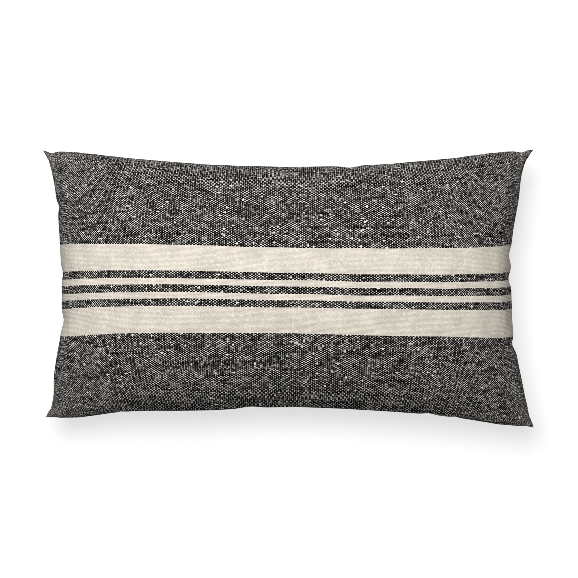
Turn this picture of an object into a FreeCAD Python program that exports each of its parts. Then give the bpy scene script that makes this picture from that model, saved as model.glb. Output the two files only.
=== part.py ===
"""Lumbar throw pillow: a woven cover with a concealed zip in its lower edge, and a stuffed insert.

Row frame, millimetres: +X along the long sides, +Y across them, away from the zip, +Z up through the
pillow as it lies on its back. The origin is the middle of the face that it rests on.
"""

import FreeCAD, Part
import os

import Sketcher

VALUES = {
    # The sewn cover, as it lies stuffed
    "tip_half_length": 296.0,
    "tip_half_width": 167.0,
    "mid_half_length": 271.5,
    "mid_half_width": 147.0,
    "zip_recess": 5.0,
    "straight_half": 158.0,
    "crown_height": 76.0,
    "seam_height": 64.0,
    "dome_height": 78.4,
    "length_fullness": 2.6,
    "width_fullness": 2.1,
    "corner_share": 0.97,
    "corner_taper": 0.17,
    # How far each skin lies inside the cover's outer face, at its sides and at its crown
    "cloth_side": 1.6,
    "cloth_top": 1.2,
    "insert_side": 18.0,
    "insert_top": 1.6,
    "fill_side": 19.4,
    "fill_top": 2.4,
    # Seam allowance turned to the inside, and the threads that close and edge it
    "allowance_edge": 1.0,
    "allowance_width": 10.0,
    "allowance_thick": 0.9,
    "thread_size": 0.5,
    "thread_inset": 4.0,
    "overlock_size": 1.2,
    "insert_thread_size": 0.8,
    # Concealed zip, measured inward from the cover's lower edge and up or down from the seam plane
    "zip_half": 146.0,
    "slit_half": 154.0,
    "slit_height": 0.8,
    "tape_half": 153.0,
    "tape_foot": 1.0,
    "tape_rise": 12.0,
    "tape_edge": 2.1,
    "tape_lean": 1.1,
    "tape_thick": 0.55,
    "tape_stitch_rise": 8.0,
    "tooth_depth": 3.3,
    "tooth_thick": 1.5,
    "tooth_pitch": 2.0,
    "tooth_width": 0.8,
    "tooth_reach": 0.6,
    "spine_low": 1.5,
    "spine_high": 2.3,
    "stop_length": 2.0,
    "stop_gap": 0.3,
    # Slider: a channelled plate inside, a neck through the slit and a bail outside for the pull
    "slider_rear": 141.5,
    "slider_front": 150.2,
    "slider_half_height": 3.4,
    "channel_half_height": 2.6,
    "channel_depth": 4.0,
    "plate_depth": 5.1,
    "plate_thick": 1.0,
    "neck_start": 147.0,
    "neck_length": 2.5,
    "neck_half": 0.5,
    "foot_gap": 0.6,
    "foot_thick": 1.0,
    "foot_half_height": 1.5,
    "bail_start": 142.5,
    "bail_length": 6.0,
    "bail_opening": 2.4,
    "bail_thick": 1.0,
    "bail_half_height": 1.1,
    # Pull: a flat tab with a fork and a pin that turns in the bail
    "pivot_x": 145.5,
    "pin_radius": 0.6,
    "fork_half_height": 1.9,
    "fork_length": 4.4,
    "pull_half_height": 2.7,
    "pull_heel": 1.1,
    "pull_reach": 23.0,
    "pull_thick": 1.0,
    "pull_rounding": 2.2,
    # Labels sewn into the side seams, in the hollow between the cover and the insert
    "label_half_width": 14.0,
    "label_thick": 0.5,
    "label_low": 1.6,
    "label_high": 25.0,
    "label_inset": 6.0,
    "label_lean": 5.5,
    "insert_label_inset": 15.2,
    # Hand stitches that close the insert after it is filled
    "stitch_count": 21.0,
    "stitch_pitch": 6.0,
    "stitch_half": 1.6,
    "stitch_radius": 0.35,
}
# Shares of a half's height at which a crown is sectioned, from the seam to the top or the base
FRONT_LEVELS = (0.0, 0.14, 0.34, 0.54, 0.72, 0.87, 1.0)
BACK_LEVELS = (0.0, 0.16, 0.4, 0.64, 0.84, 1.0)
# Each skin's inset at its sides and at its crown, how much more its corner tips are inset, because the
# insert's corners are blunter than the cover's, and how far the zip draws in its lower side
SKINS = {
    "cover": ("0", "0", "1", "dims.zip_recess"),
    "lining": ("dims.cloth_side", "dims.cloth_top", "1.6", "dims.zip_recess"),
    "insert": ("dims.insert_side", "dims.insert_top", "2", "0"),
    "fill": ("dims.fill_side", "dims.fill_top", "2", "0"),
}
SEAM = "dims.seam_height"
# The cover's lower edge where the zip lies, and the same edge of the insert
ZIP_EDGE = "(dims.zip_recess - dims.mid_half_width)"
INSERT_EDGE = "(dims.insert_side - dims.mid_half_width)"

doc = FreeCAD.newDocument("lumbar_pillow")


def make_sheet():
    """The driving dimensions, one per row, each under its own alias."""
    sheet = doc.addObject("Spreadsheet::Sheet", "dims")
    for row, (name, value) in enumerate(VALUES.items(), start=1):
        sheet.set(f"A{row}", name)
        sheet.set(f"B{row}", str(value))
        sheet.setAlias(f"B{row}", name)
    doc.recompute()


def number(expression):
    """What an expression on the sheet comes to, to place a sketch's geometry before it is constrained."""
    value = doc.getObject("dims").evalExpression(expression.replace("dims.", ""))
    return float(getattr(value, "Value", value))


def new_body(name, several=False):
    """An empty body named after its sub-part; several lets it hold more than one solid."""
    body = doc.addObject("PartDesign::Body", name)
    body.Label = name
    body.AllowCompound = several
    return body


def new_sketch(body, name, role, offset="0"):
    """An empty sketch on one of the body's own planes, moved along that plane's normal."""
    sketch = body.newObject("Sketcher::SketchObject", name)
    plane = next(o for o in body.Origin.OriginFeatures if o.Role == role)
    sketch.AttachmentSupport = (plane, [""])
    sketch.MapMode = "FlatFace"
    sketch.setExpression("AttachmentOffset.Base.z", offset)
    return sketch


def bind(sketch, kind, places, expression, name):
    """A driving constraint whose size is an expression on the sheet."""
    index = sketch.addConstraint(Sketcher.Constraint(kind, *places, number(expression)))
    sketch.renameConstraint(index, name)
    sketch.setExpression(f"Constraints.{name}", expression)


def bind_point(sketch, geometry, point, place, name):
    """Fixes a point of the sketch's geometry at a place given as two expressions."""
    bind(sketch, "DistanceX", (-1, 1, geometry, point), place[0], f"{name}_x")
    bind(sketch, "DistanceY", (-1, 1, geometry, point), place[1], f"{name}_y")


def arc_between(start, end, inward):
    """An arc from start to end that bows left of that line, and whether it is drawn from its end."""
    a = FreeCAD.Vector(*start, 0)
    b = FreeCAD.Vector(*end, 0)
    left = FreeCAD.Vector(a.y - b.y, b.x - a.x, 0).normalize()
    middle = (a + b) * 0.5 + left * inward
    if inward > 0:
        return Part.ArcOfCircle(b, middle, a), True
    return Part.ArcOfCircle(a, middle, b), False


def sagitta(run, drop):
    """Bow of the arc that leaves a straight side smoothly and drops away to the corner."""
    radius = (run * run + drop * drop) / (2 * abs(drop))
    half_chord = (run * run + drop * drop) ** 0.5 / 2
    bow = radius - (radius * radius - half_chord * half_chord) ** 0.5
    return bow if drop > 0 else -bow


def add_outline(sketch, skin, height, tag="", extra="0"):
    """The pillow's outline at one height from the seam plane: four sides between its four corners.

    The lower side has a straight middle for the zip. At the seam the sides pull in between the corner
    tips; higher up they bow out, and the corners fall away.
    """
    side, top, tip_factor, recess = SKINS[skin]
    at_seam = number(height) == 0
    share = f"({height} / (dims.dome_height - {top}))"
    inset = f"({side} + {extra})"
    long_share = f"((1 - {share} ^ dims.length_fullness) ^ (1 / dims.length_fullness))"
    wide_share = f"((1 - {share} ^ dims.width_fullness) ^ (1 / dims.width_fullness))"
    side_x = f"((dims.mid_half_length - {inset}) * {long_share})"
    side_y = f"((dims.mid_half_width - {inset}) * {wide_share})"
    low_y = f"({side_y} - {recess})" if at_seam else side_y
    taper = f"(dims.corner_share - dims.corner_taper * {share} ^ 1.5)"
    corner_x = f"(dims.tip_half_length - {tip_factor} * {inset})" if at_seam else f"({side_x} * {taper})"
    corner_y = f"(dims.tip_half_width - {tip_factor} * {inset})" if at_seam else f"({side_y} * {taper})"
    flat = f"(dims.straight_half * {long_share})"

    cx, cy, sx, sy, low, half = (number(e) for e in (corner_x, corner_y, side_x, side_y, low_y, flat))
    shoulder = sagitta(cx - half, cy - low)
    # Each side, anticlockwise from the right end of the straight: its two ends and its bow to the left
    sides = {
        "right_shoulder": ((half, -low), (cx, -cy), shoulder),
        "right_side": ((cx, -cy), (cx, cy), cx - sx),
        "upper_side": ((cx, cy), (-cx, cy), cy - sy),
        "left_side": ((-cx, cy), (-cx, -cy), cx - sx),
        "left_shoulder": ((-cx, -cy), (-half, -low), shoulder),
    }
    ends = {}
    for name, (start, end, bow) in sides.items():
        arc, backwards = arc_between(start, end, bow)
        at = sketch.addGeometry(arc)
        ends[name] = ((at, 2), (at, 1)) if backwards else ((at, 1), (at, 2))
    order = list(ends.values())
    for before, after in zip(order, order[1:]):
        sketch.addConstraint(Sketcher.Constraint("Coincident", *before[1], *after[0]))
    straight_right = ends["right_shoulder"][0]
    straight_left = ends["left_shoulder"][1]
    line = Part.LineSegment(FreeCAD.Vector(-half, -low, 0), FreeCAD.Vector(half, -low, 0))
    straight = sketch.addGeometry(line)
    sketch.addConstraint(Sketcher.Constraint("Coincident", straight, 1, *straight_left))
    sketch.addConstraint(Sketcher.Constraint("Coincident", straight, 2, *straight_right))

    upper_right, upper_left = ends["upper_side"]
    lower_right = ends["right_side"][0]
    lower_left = ends["left_side"][1]
    for a, b, axis in (
        (upper_right, upper_left, -2),
        (lower_right, lower_left, -2),
        (straight_right, straight_left, -2),
        (upper_right, lower_right, -1),
    ):
        sketch.addConstraint(Sketcher.Constraint("Symmetric", *a, *b, axis))
    bind_point(sketch, *upper_right, (corner_x, corner_y), f"corner{tag}")
    bind_point(sketch, *straight_right, (flat, f"-{low_y}"), f"straight{tag}")

    def radius(run, drop):
        return f"(({run}) ^ 2 + ({drop}) ^ 2) / (2 * abs({drop}))"

    shoulder_radius = radius(f"{corner_x} - {flat}", f"{corner_y} - {low_y}")
    for name, size in (
        ("right_shoulder", shoulder_radius),
        ("left_shoulder", shoulder_radius),
        ("right_side", radius(corner_y, f"{corner_x} - {side_x}")),
        ("left_side", radius(corner_y, f"{corner_x} - {side_x}")),
        ("upper_side", radius(corner_x, f"{corner_y} - {side_y}")),
    ):
        bind(sketch, "Radius", (ends[name][0][0],), size, f"{name}{tag}")


def crown(body, skin, front, kind):
    """Lofts one half of a skin through its outlines, from the seam plane to the crown or the base."""
    top = SKINS[skin][1]
    levels = FRONT_LEVELS if front else BACK_LEVELS
    half_height = "dims.crown_height" if front else "dims.seam_height"
    sign = "+" if front else "-"
    side = "up" if front else "down"
    sections = []
    for step, share in enumerate(levels):
        height = f"({share} * ({half_height} - {top}))"
        sketch = new_sketch(body, f"{body.Name}_{skin}_{side}_{step}", "XY_Plane", f"{SEAM} {sign} {height}")
        add_outline(sketch, skin, height)
        sections.append(sketch)
    loft = body.newObject(f"PartDesign::{kind}Loft", f"{body.Name}_{skin}_{side}")
    loft.Profile = (sections[0], [""])
    loft.Sections = [(s, [""]) for s in sections[1:]]
    loft.Ruled = True


def polygon_sketch(body, name, role, offset, points):
    """A closed outline of straight sides, each corner a pair of expressions on the sketch's own axes."""
    sketch = new_sketch(body, name, role, offset)
    places = [FreeCAD.Vector(number(x), number(y), 0) for x, y in points]
    for a, b in zip(places, places[1:] + places[:1]):
        sketch.addGeometry(Part.LineSegment(a, b))
    for k in range(len(points)):
        sketch.addConstraint(Sketcher.Constraint("Coincident", k, 2, (k + 1) % len(points), 1))
        bind_point(sketch, k, 1, points[k], f"corner_{k}")
    return sketch


def box_sketch(body, name, role, offset, low, high):
    """A rectangle between two opposite corners."""
    corners = (low, (high[0], low[1]), high, (low[0], high[1]))
    return polygon_sketch(body, name, role, offset, corners)


def circle_sketch(body, name, role, offset, centre, radius):
    sketch = new_sketch(body, name, role, offset)
    middle = FreeCAD.Vector(number(centre[0]), number(centre[1]), 0)
    at = sketch.addGeometry(Part.Circle(middle, FreeCAD.Vector(0, 0, 1), number(radius)))
    bind_point(sketch, at, 3, centre, "centre")
    bind(sketch, "Radius", (at,), radius, "radius")
    return sketch


def extrude(body, sketch, kind, length, reverse=False, both=False):
    """Pad or Pocket of a sketch, to one side or evenly to both."""
    feature = body.newObject(f"PartDesign::{kind}", f"{sketch.Name}_{kind.lower()}")
    feature.Profile = sketch
    feature.SideType = "Symmetric" if both else "One side"
    feature.setExpression("Length", length)
    feature.Reversed = reverse
    return feature


def slab(body, name, low, high, half_height, kind="Pad"):
    """A block, or a cut, that lies evenly about the seam plane."""
    sketch = box_sketch(body, name, "XY_Plane", SEAM, low, high)
    return extrude(body, sketch, kind, f"2 * {half_height}", both=True)


def cover_panel(name, front):
    """Half of the cover: a crowned skin of cloth with its seam allowance turned in along the seam.

    In the zip's stretch the allowance is left out for the zip, and the lips stand apart by the slit.
    """
    body = new_body(name)
    crown(body, "cover", front, "Additive")
    crown(body, "lining", front, "Subtractive")
    allowance = new_sketch(body, f"{name}_allowance", "XY_Plane", SEAM)
    add_outline(allowance, "cover", "0", "_out", "dims.allowance_edge")
    add_outline(allowance, "cover", "0", "_in", "dims.allowance_width")
    extrude(body, allowance, "Pad", "dims.allowance_thick", reverse=not front)
    room = box_sketch(
        body, f"{name}_zip_room", "XY_Plane", SEAM,
        ("-dims.straight_half", f"{ZIP_EDGE} + dims.cloth_side"),
        ("dims.straight_half", f"{ZIP_EDGE} + 2 * dims.allowance_width"),
    )
    extrude(body, room, "Pocket", "dims.allowance_thick", reverse=front)
    slit = box_sketch(
        body, f"{name}_slit", "XY_Plane", SEAM,
        ("-dims.slit_half", f"{ZIP_EDGE} - dims.cloth_side"),
        ("dims.slit_half", f"{ZIP_EDGE} + 2 * dims.cloth_side"),
    )
    extrude(body, slit, "Pocket", "dims.slit_height", reverse=front)


def insert_panel(name, front):
    """Half of the insert's ticking: a thin crowned skin, open at the seam."""
    body = new_body(name)
    crown(body, "insert", front, "Additive")
    crown(body, "fill", front, "Subtractive")


def fill_mass():
    """The stuffing, as one closed mass that fills the ticking."""
    body = new_body("insert_fill")
    crown(body, "fill", True, "Additive")
    crown(body, "fill", False, "Additive")


def thread_round(body, name, skin, plane, size, inset, kind="One side"):
    """A thread of square section that follows a skin's outline all the way round."""
    ring = new_sketch(body, name, "XY_Plane", plane)
    add_outline(ring, skin, "0", "_out", inset)
    add_outline(ring, skin, "0", "_in", f"({inset} + {size})")
    extrude(body, ring, "Pad", size, both=kind == "Symmetric")


def open_stretch(body, skin, inset, half_height):
    """Cuts a thread away along the lower side's straight, where the zip or the hand stitches are."""
    side, _, _, recess = SKINS[skin]
    near = f"({side} + {inset} + {recess} - dims.mid_half_width)"
    slab(
        body, f"{body.Name}_gap", ("-dims.straight_half", f"{near} - 1"),
        ("dims.straight_half", f"{near} + dims.allowance_width"), half_height, "Pocket",
    )


def cover_seam_thread():
    """The seam's lockstitch: the needle thread on one allowance and the bobbin thread on the other."""
    body = new_body("cover_seam_thread", several=True)
    inset = "dims.thread_inset"
    above = f"{SEAM} + dims.allowance_thick"
    below = f"{SEAM} - dims.allowance_thick - dims.thread_size"
    thread_round(body, "needle_thread", "cover", above, "dims.thread_size", inset)
    thread_round(body, "bobbin_thread", "cover", below, "dims.thread_size", inset)
    open_stretch(body, "cover", inset, "(dims.allowance_thick + 2 * dims.thread_size)")


def cover_overlock_thread():
    """The looped thread that edges the two allowances together so that the loose weave can't fray."""
    body = new_body("cover_overlock_thread")
    inset = "dims.allowance_width"
    thread_round(body, "overlock_thread", "cover", SEAM, "dims.overlock_size", inset, "Symmetric")
    open_stretch(body, "cover", inset, "dims.overlock_size")


def insert_seam_thread():
    """The machine seam of the insert, which stops each side of the hand-closed gap."""
    body = new_body("insert_seam_thread")
    inset = "(-dims.insert_thread_size)"
    thread_round(body, "insert_thread", "insert", SEAM, "dims.insert_thread_size", inset, "Symmetric")
    open_stretch(body, "insert", inset, "dims.insert_thread_size")


def zip_tape(name, sign):
    """A woven tape that lies inside the cover's lip, from the slit up or down the wall."""
    body = new_body(name)
    foot = f"{ZIP_EDGE} + dims.tape_edge"
    head = f"{foot} + dims.tape_lean"
    foot_z = f"{SEAM} {sign} dims.tape_foot"
    head_z = f"{SEAM} {sign} dims.tape_rise"
    profile = polygon_sketch(
        body, f"{name}_profile", "YZ_Plane", "0",
        [
            (foot, foot_z),
            (f"{foot} + dims.tape_thick", foot_z),
            (f"{head} + dims.tape_thick", head_z),
            (head, head_z),
        ],
    )
    extrude(body, profile, "Pad", "2 * dims.tape_half", both=True)


def zip_teeth(name, sign, shift):
    """One side's coil: a spine along the tape, with a tooth at each turn that enters the other's gaps."""
    body = new_body(name)
    near = f"{ZIP_EDGE} + dims.tooth_depth"
    far = f"{near} + dims.tooth_thick"
    spine = box_sketch(
        body, f"{name}_spine", "YZ_Plane", "0",
        (near, f"{SEAM} {sign} dims.spine_low"), (far, f"{SEAM} {sign} dims.spine_high"),
    )
    extrude(body, spine, "Pad", "2 * dims.zip_half", both=True)
    tooth = box_sketch(
        body, f"{name}_tooth", "YZ_Plane", f"-dims.zip_half + {shift}",
        (near, f"{SEAM} {sign} dims.spine_high"), (far, f"{SEAM} {sign} (-dims.tooth_reach)"),
    )
    first = extrude(body, tooth, "Pad", "dims.tooth_width")
    row = body.newObject("PartDesign::LinearPattern", f"{name}_row")
    row.Originals = [first]
    row.Direction = (next(o for o in body.Origin.OriginFeatures if o.Role == "X_Axis"), [""])
    row.setExpression("Occurrences", "floor(2 * dims.zip_half / dims.tooth_pitch)")
    row.setExpression("Length", "(floor(2 * dims.zip_half / dims.tooth_pitch) - 1) * dims.tooth_pitch")
    body.Tip = row


def zip_tape_stitches():
    """The thread that sews each tape to its lip, along the tape's inner face."""
    body = new_body("zip_tape_stitches", several=True)
    lean = "dims.tape_lean * (dims.tape_stitch_rise - dims.tape_foot) / (dims.tape_rise - dims.tape_foot)"
    depth = f"{ZIP_EDGE} + dims.tape_edge + dims.tape_thick + {lean} + dims.thread_size / 2"
    for name, sign in (("upper_row", "+"), ("lower_row", "-")):
        centre = (depth, f"{SEAM} {sign} dims.tape_stitch_rise")
        section = circle_sketch(body, name, "YZ_Plane", "0", centre, "dims.thread_size / 2")
        extrude(body, section, "Pad", "2 * (dims.tape_half - dims.stop_length)", both=True)


def zip_stops():
    """The single stop that joins both coils at the open end, and the pair that ends them past the slider."""
    near = f"{ZIP_EDGE} + dims.tooth_depth"
    far = f"{near} + dims.tooth_thick"
    bottom = new_body("zip_bottom_stop")
    slab(
        bottom, "stop_block", ("-dims.zip_half - dims.stop_length", near),
        ("-dims.zip_half", far), "dims.spine_high",
    )
    top = new_body("zip_top_stops", several=True)
    for name, sign in (("upper_stop", "+"), ("lower_stop", "-")):
        block = box_sketch(
            top, name, "YZ_Plane", "dims.slider_front + dims.stop_gap",
            (near, f"{SEAM} {sign} dims.tape_foot"), (far, f"{SEAM} {sign} dims.spine_high"),
        )
        extrude(top, block, "Pad", "dims.stop_length")


def zip_slider():
    """The slider: a channelled plate behind the coils, a neck through the slit, a foot and a bail outside."""
    body = new_body("zip_slider")
    plate_back = f"{ZIP_EDGE} + dims.plate_depth + dims.plate_thick"
    foot_face = f"{ZIP_EDGE} - dims.foot_gap - dims.foot_thick"
    bail_top = f"{foot_face} - dims.bail_opening - dims.bail_thick"
    bail_end = "dims.bail_start + dims.bail_length"
    slab(
        body, "plate", ("dims.slider_rear", f"{ZIP_EDGE} + dims.channel_depth"),
        ("dims.slider_front", plate_back), "dims.slider_half_height",
    )
    slab(
        body, "channel", ("dims.slider_rear - 1", f"{ZIP_EDGE}"),
        ("dims.slider_front + 1", f"{ZIP_EDGE} + dims.plate_depth"), "dims.channel_half_height", "Pocket",
    )
    slab(
        body, "neck", ("dims.neck_start", f"{ZIP_EDGE} - dims.foot_gap - dims.foot_thick"),
        ("dims.neck_start + dims.neck_length", plate_back), "dims.neck_half",
    )
    slab(
        body, "foot", ("dims.bail_start", foot_face),
        ("dims.neck_start + dims.neck_length", f"{ZIP_EDGE} - dims.foot_gap"), "dims.foot_half_height",
    )
    slab(
        body, "bail", ("dims.bail_start", bail_top),
        (bail_end, f"{ZIP_EDGE} - dims.foot_gap"), "dims.bail_half_height",
    )
    slab(
        body, "bail_window", ("dims.bail_start + dims.bail_thick", f"{bail_top} + dims.bail_thick"),
        (f"{bail_end} - dims.bail_thick", foot_face), "dims.bail_half_height", "Pocket",
    )


def zip_pull():
    """The pull: a flat tab whose forked end holds the pin that turns in the bail."""
    body = new_body("zip_pull")
    pivot_y = f"({ZIP_EDGE} - dims.foot_gap - dims.foot_thick - dims.bail_opening / 2)"
    near = f"{pivot_y} - dims.pull_thick / 2"
    far = f"{pivot_y} + dims.pull_thick / 2"
    end_x = "dims.pivot_x - dims.pull_reach"
    slab(body, "tab", (end_x, near), ("dims.pivot_x + dims.pull_heel", far), "dims.pull_half_height")
    slab(
        body, "fork", ("dims.pivot_x - dims.fork_length", f"{near} - 1"),
        ("dims.pivot_x + dims.pull_heel + 1", f"{far} + 1"), "dims.fork_half_height", "Pocket",
    )
    pin = circle_sketch(body, "pin", "XY_Plane", SEAM, ("dims.pivot_x", pivot_y), "dims.pin_radius")
    pin_pad = extrude(body, pin, "Pad", "2 * dims.pull_half_height", both=True)
    doc.recompute()
    ends = []
    for number_in_shape, edge in enumerate(pin_pad.Shape.Edges, start=1):
        along_y = abs(edge.tangentAt(edge.FirstParameter).y) > 0.99
        if along_y and abs(edge.CenterOfMass.x - number(end_x)) < 0.01:
            ends.append(f"Edge{number_in_shape}")
    rounding = body.newObject("PartDesign::Fillet", "tab_end")
    rounding.Base = (pin_pad, ends)
    rounding.setExpression("Radius", "dims.pull_rounding")


def side_label(name, inset, sign):
    """A blank woven label that stands in a side seam and leans in with the wall."""
    body = new_body(name)
    foot = f"{sign}(dims.mid_half_length - {inset})"
    head = f"{sign}(dims.mid_half_length - {inset} - dims.label_lean)"
    inner_foot = f"{sign}(dims.mid_half_length - {inset} - dims.label_thick)"
    inner_head = f"{sign}(dims.mid_half_length - {inset} - dims.label_lean - dims.label_thick)"
    low = f"({SEAM} + dims.label_low)"
    high = f"({SEAM} + dims.label_high)"
    profile = polygon_sketch(
        body, f"{name}_profile", "XZ_Plane", "0",
        [(foot, low), (head, high), (inner_head, high), (inner_foot, low)],
    )
    extrude(body, profile, "Pad", "2 * dims.label_half_width", both=True)


def closing_stitches():
    """The row of hand stitches, one across the insert's seam at each pitch."""
    body = new_body("insert_closing_stitches", several=True)
    centre_y = f"{INSERT_EDGE} - dims.stitch_radius"
    start_x = "-dims.stitch_pitch * (dims.stitch_count - 1) / 2"
    section = circle_sketch(body, "stitch", "XY_Plane", SEAM, (start_x, centre_y), "dims.stitch_radius")
    stitch = extrude(body, section, "Pad", "2 * dims.stitch_half", both=True)
    row = body.newObject("PartDesign::LinearPattern", "stitch_row")
    row.Originals = [stitch]
    row.Direction = (next(o for o in body.Origin.OriginFeatures if o.Role == "X_Axis"), [""])
    row.setExpression("Occurrences", "dims.stitch_count")
    row.setExpression("Length", "dims.stitch_pitch * (dims.stitch_count - 1)")
    body.Tip = row


def make_parts():
    make_sheet()
    cover_panel("cover_front_panel", True)
    cover_panel("cover_back_panel", False)
    cover_seam_thread()
    cover_overlock_thread()
    zip_tape("zip_tape_upper", "+")
    zip_tape("zip_tape_lower", "-")
    zip_teeth("zip_teeth_upper", "+", "0")
    zip_teeth("zip_teeth_lower", "-", "dims.tooth_pitch / 2")
    zip_tape_stitches()
    zip_stops()
    zip_slider()
    zip_pull()
    side_label("care_label", "dims.label_inset", "-")
    insert_panel("insert_front_panel", True)
    insert_panel("insert_back_panel", False)
    fill_mass()
    insert_seam_thread()
    closing_stitches()
    side_label("insert_label", "dims.insert_label_inset", "")
    doc.recompute()


def check_and_write():
    """Stops on any failed object or faulty shape, then writes one STEP file for each sub-part."""
    for thing in doc.Objects:
        if "Invalid" in thing.State or "Error" in thing.State:
            raise RuntimeError(f"{thing.Name} is {thing.State}")
    bodies = [o for o in doc.Objects if o.TypeId == "PartDesign::Body"]
    for body in bodies:
        if body.Shape.isNull() or not body.Shape.isValid() or not body.Shape.Solids:
            raise RuntimeError(f"{body.Label} has no valid solid")
    os.makedirs("parts", exist_ok=True)
    for body in bodies:
        body.Shape.exportStep(f"parts/{body.Label}.step")
        box = body.Shape.BoundBox
        volume = body.Shape.Volume / 1000
        print(
            f"{body.Label:26s} {len(body.Shape.Solids):3d} solids {volume:10.3f} cm3"
            f"  x {box.XMin:.1f}..{box.XMax:.1f}  y {box.YMin:.1f}..{box.YMax:.1f}"
            f"  z {box.ZMin:.1f}..{box.ZMax:.1f}"
        )


make_parts()
check_and_write()
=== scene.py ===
import math
import random

import bmesh
import bpy
import numpy as np
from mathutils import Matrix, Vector, noise


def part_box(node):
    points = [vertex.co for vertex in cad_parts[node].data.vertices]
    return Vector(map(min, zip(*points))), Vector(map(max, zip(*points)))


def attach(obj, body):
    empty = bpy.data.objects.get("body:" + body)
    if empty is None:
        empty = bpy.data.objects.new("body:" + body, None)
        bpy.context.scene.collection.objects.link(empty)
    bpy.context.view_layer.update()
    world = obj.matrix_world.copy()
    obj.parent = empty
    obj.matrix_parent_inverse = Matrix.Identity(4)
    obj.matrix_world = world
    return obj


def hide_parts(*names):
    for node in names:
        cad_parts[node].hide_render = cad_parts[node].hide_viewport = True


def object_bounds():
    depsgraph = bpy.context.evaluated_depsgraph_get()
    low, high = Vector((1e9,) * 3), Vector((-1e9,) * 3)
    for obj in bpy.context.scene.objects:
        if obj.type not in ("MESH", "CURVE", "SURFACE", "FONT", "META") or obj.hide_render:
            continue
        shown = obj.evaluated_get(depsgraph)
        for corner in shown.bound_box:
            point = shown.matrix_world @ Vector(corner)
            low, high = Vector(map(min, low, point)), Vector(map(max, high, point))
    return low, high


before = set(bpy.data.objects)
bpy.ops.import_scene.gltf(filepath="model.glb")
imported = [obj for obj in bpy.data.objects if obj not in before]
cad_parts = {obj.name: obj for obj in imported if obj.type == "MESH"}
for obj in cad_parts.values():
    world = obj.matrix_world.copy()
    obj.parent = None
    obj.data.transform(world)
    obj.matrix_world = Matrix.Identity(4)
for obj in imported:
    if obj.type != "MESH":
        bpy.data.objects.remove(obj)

cad_low, cad_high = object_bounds()

# ---------------------------------------------------------------------------------------------------
# Where the pillow lies
# A seamless white table in a white room, with one soft lamp above the pillow and a little past its
# upper side. The camera hangs straight above, with the pillow's long side across its view.
# ---------------------------------------------------------------------------------------------------
seam_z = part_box("cover_front_panel")[0].z
scene = bpy.context.scene

CAMERA_LENS = 120.0
CAMERA_SENSOR = 36.0
VIEW_WIDTH = 0.7005
VIEW_CENTRE = (0.0012, -0.003)
camera_data = bpy.data.cameras.new("overhead_camera")
camera_data.lens = CAMERA_LENS
camera_data.sensor_width = CAMERA_SENSOR
camera = bpy.data.objects.new("overhead_camera", camera_data)
scene.collection.objects.link(camera)
camera.location = (*VIEW_CENTRE, seam_z + VIEW_WIDTH * CAMERA_LENS / CAMERA_SENSOR)
scene.camera = camera

world = bpy.data.worlds.new("white_room")
scene.world = world
world.use_nodes = True
world.node_tree.nodes["Background"].inputs["Color"].default_value = (1.0, 1.0, 1.0, 1.0)
# The room lights the pillow faintly, but a camera that looks past the table sees a white wall
ROOM_LIGHT = 0.17
wall = world.node_tree.nodes.new("ShaderNodeMapRange")
wall.inputs["To Min"].default_value = ROOM_LIGHT
seen_room = world.node_tree.nodes.new("ShaderNodeLightPath")
world.node_tree.links.new(seen_room.outputs["Is Camera Ray"], wall.inputs["Value"])
world.node_tree.links.new(wall.outputs[0], world.node_tree.nodes["Background"].inputs["Strength"])

LAMP_PLACE = Vector((-0.19, 0.46, 1.46))
lamp_data = bpy.data.lights.new("soft_lamp", "AREA")
lamp_data.shape = "DISK"
lamp_data.size = 0.95
lamp_data.energy = 21.6
lamp = bpy.data.objects.new("soft_lamp", lamp_data)
scene.collection.objects.link(lamp)
lamp.location = LAMP_PLACE
lamp.rotation_euler = (-LAMP_PLACE).to_track_quat("-Z", "Y").to_euler()

table_mesh = bpy.data.meshes.new("white_table")
TABLE_HALF = 6.0
table_corners = [(x * TABLE_HALF, y * TABLE_HALF, 0.0) for x, y in ((-1, -1), (1, -1), (1, 1), (-1, 1))]
table_mesh.from_pydata(table_corners, [], [(0, 1, 2, 3)])
table = bpy.data.objects.new("white_table", table_mesh)
scene.collection.objects.link(table)
table_finish = bpy.data.materials.new("white_table")
table_finish.use_nodes = True
table_shader = table_finish.node_tree.nodes["Principled BSDF"]
table_shader.inputs["Base Color"].default_value = (0.48, 0.48, 0.48, 1.0)
table_shader.inputs["Roughness"].default_value = 0.9
table_shader.inputs["Specular IOR Level"].default_value = 0.1
table_shader.inputs["Emission Color"].default_value = (1.0, 1.0, 1.0, 1.0)
# Only the camera sees the table's own glow, so that it whitens the shadows and not the pillow's sides
TABLE_GLOW = 0.67
glow = table_finish.node_tree.nodes.new("ShaderNodeMath")
glow.operation = "MULTIPLY"
glow.inputs[1].default_value = TABLE_GLOW
seen = table_finish.node_tree.nodes.new("ShaderNodeLightPath")
table_finish.node_tree.links.new(seen.outputs["Is Camera Ray"], glow.inputs[0])
table_finish.node_tree.links.new(glow.outputs[0], table_shader.inputs["Emission Strength"])
table_mesh.materials.append(table_finish)

scene.view_settings.view_transform = "Standard"
scene.cycles.filter_width = 0.7
scene.cycles.use_denoising = False

# ---------------------------------------------------------------------------------------------------
# The cover, cut and stuffed
# Two oblongs of hand-loomed cloth, 610 by 356 mm inside the seam, sewn together all round and blown
# out by the insert. A formula gives the stuffed shape; a short cloth run then moves it by a millimetre.
# ---------------------------------------------------------------------------------------------------
CUT_LENGTH = 0.610
CUT_WIDTH = 0.356
CELL = 0.009
TIP_X = cad_high.x
TIP_Y = cad_high.y
SIDE_X = 0.2715
SIDE_Y = 0.147
PLUMPNESS = 0.150
END_SQUARENESS = 3.0
CROWN_CURVE = 0.75
ENDS_TUCK = 0.88
SIDES_TUCK = 0.80
CRUMPLE = 0.0006
CUT_GAP = 0.0001
FRAMES = 30
FULLNESS = 1.01


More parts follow.
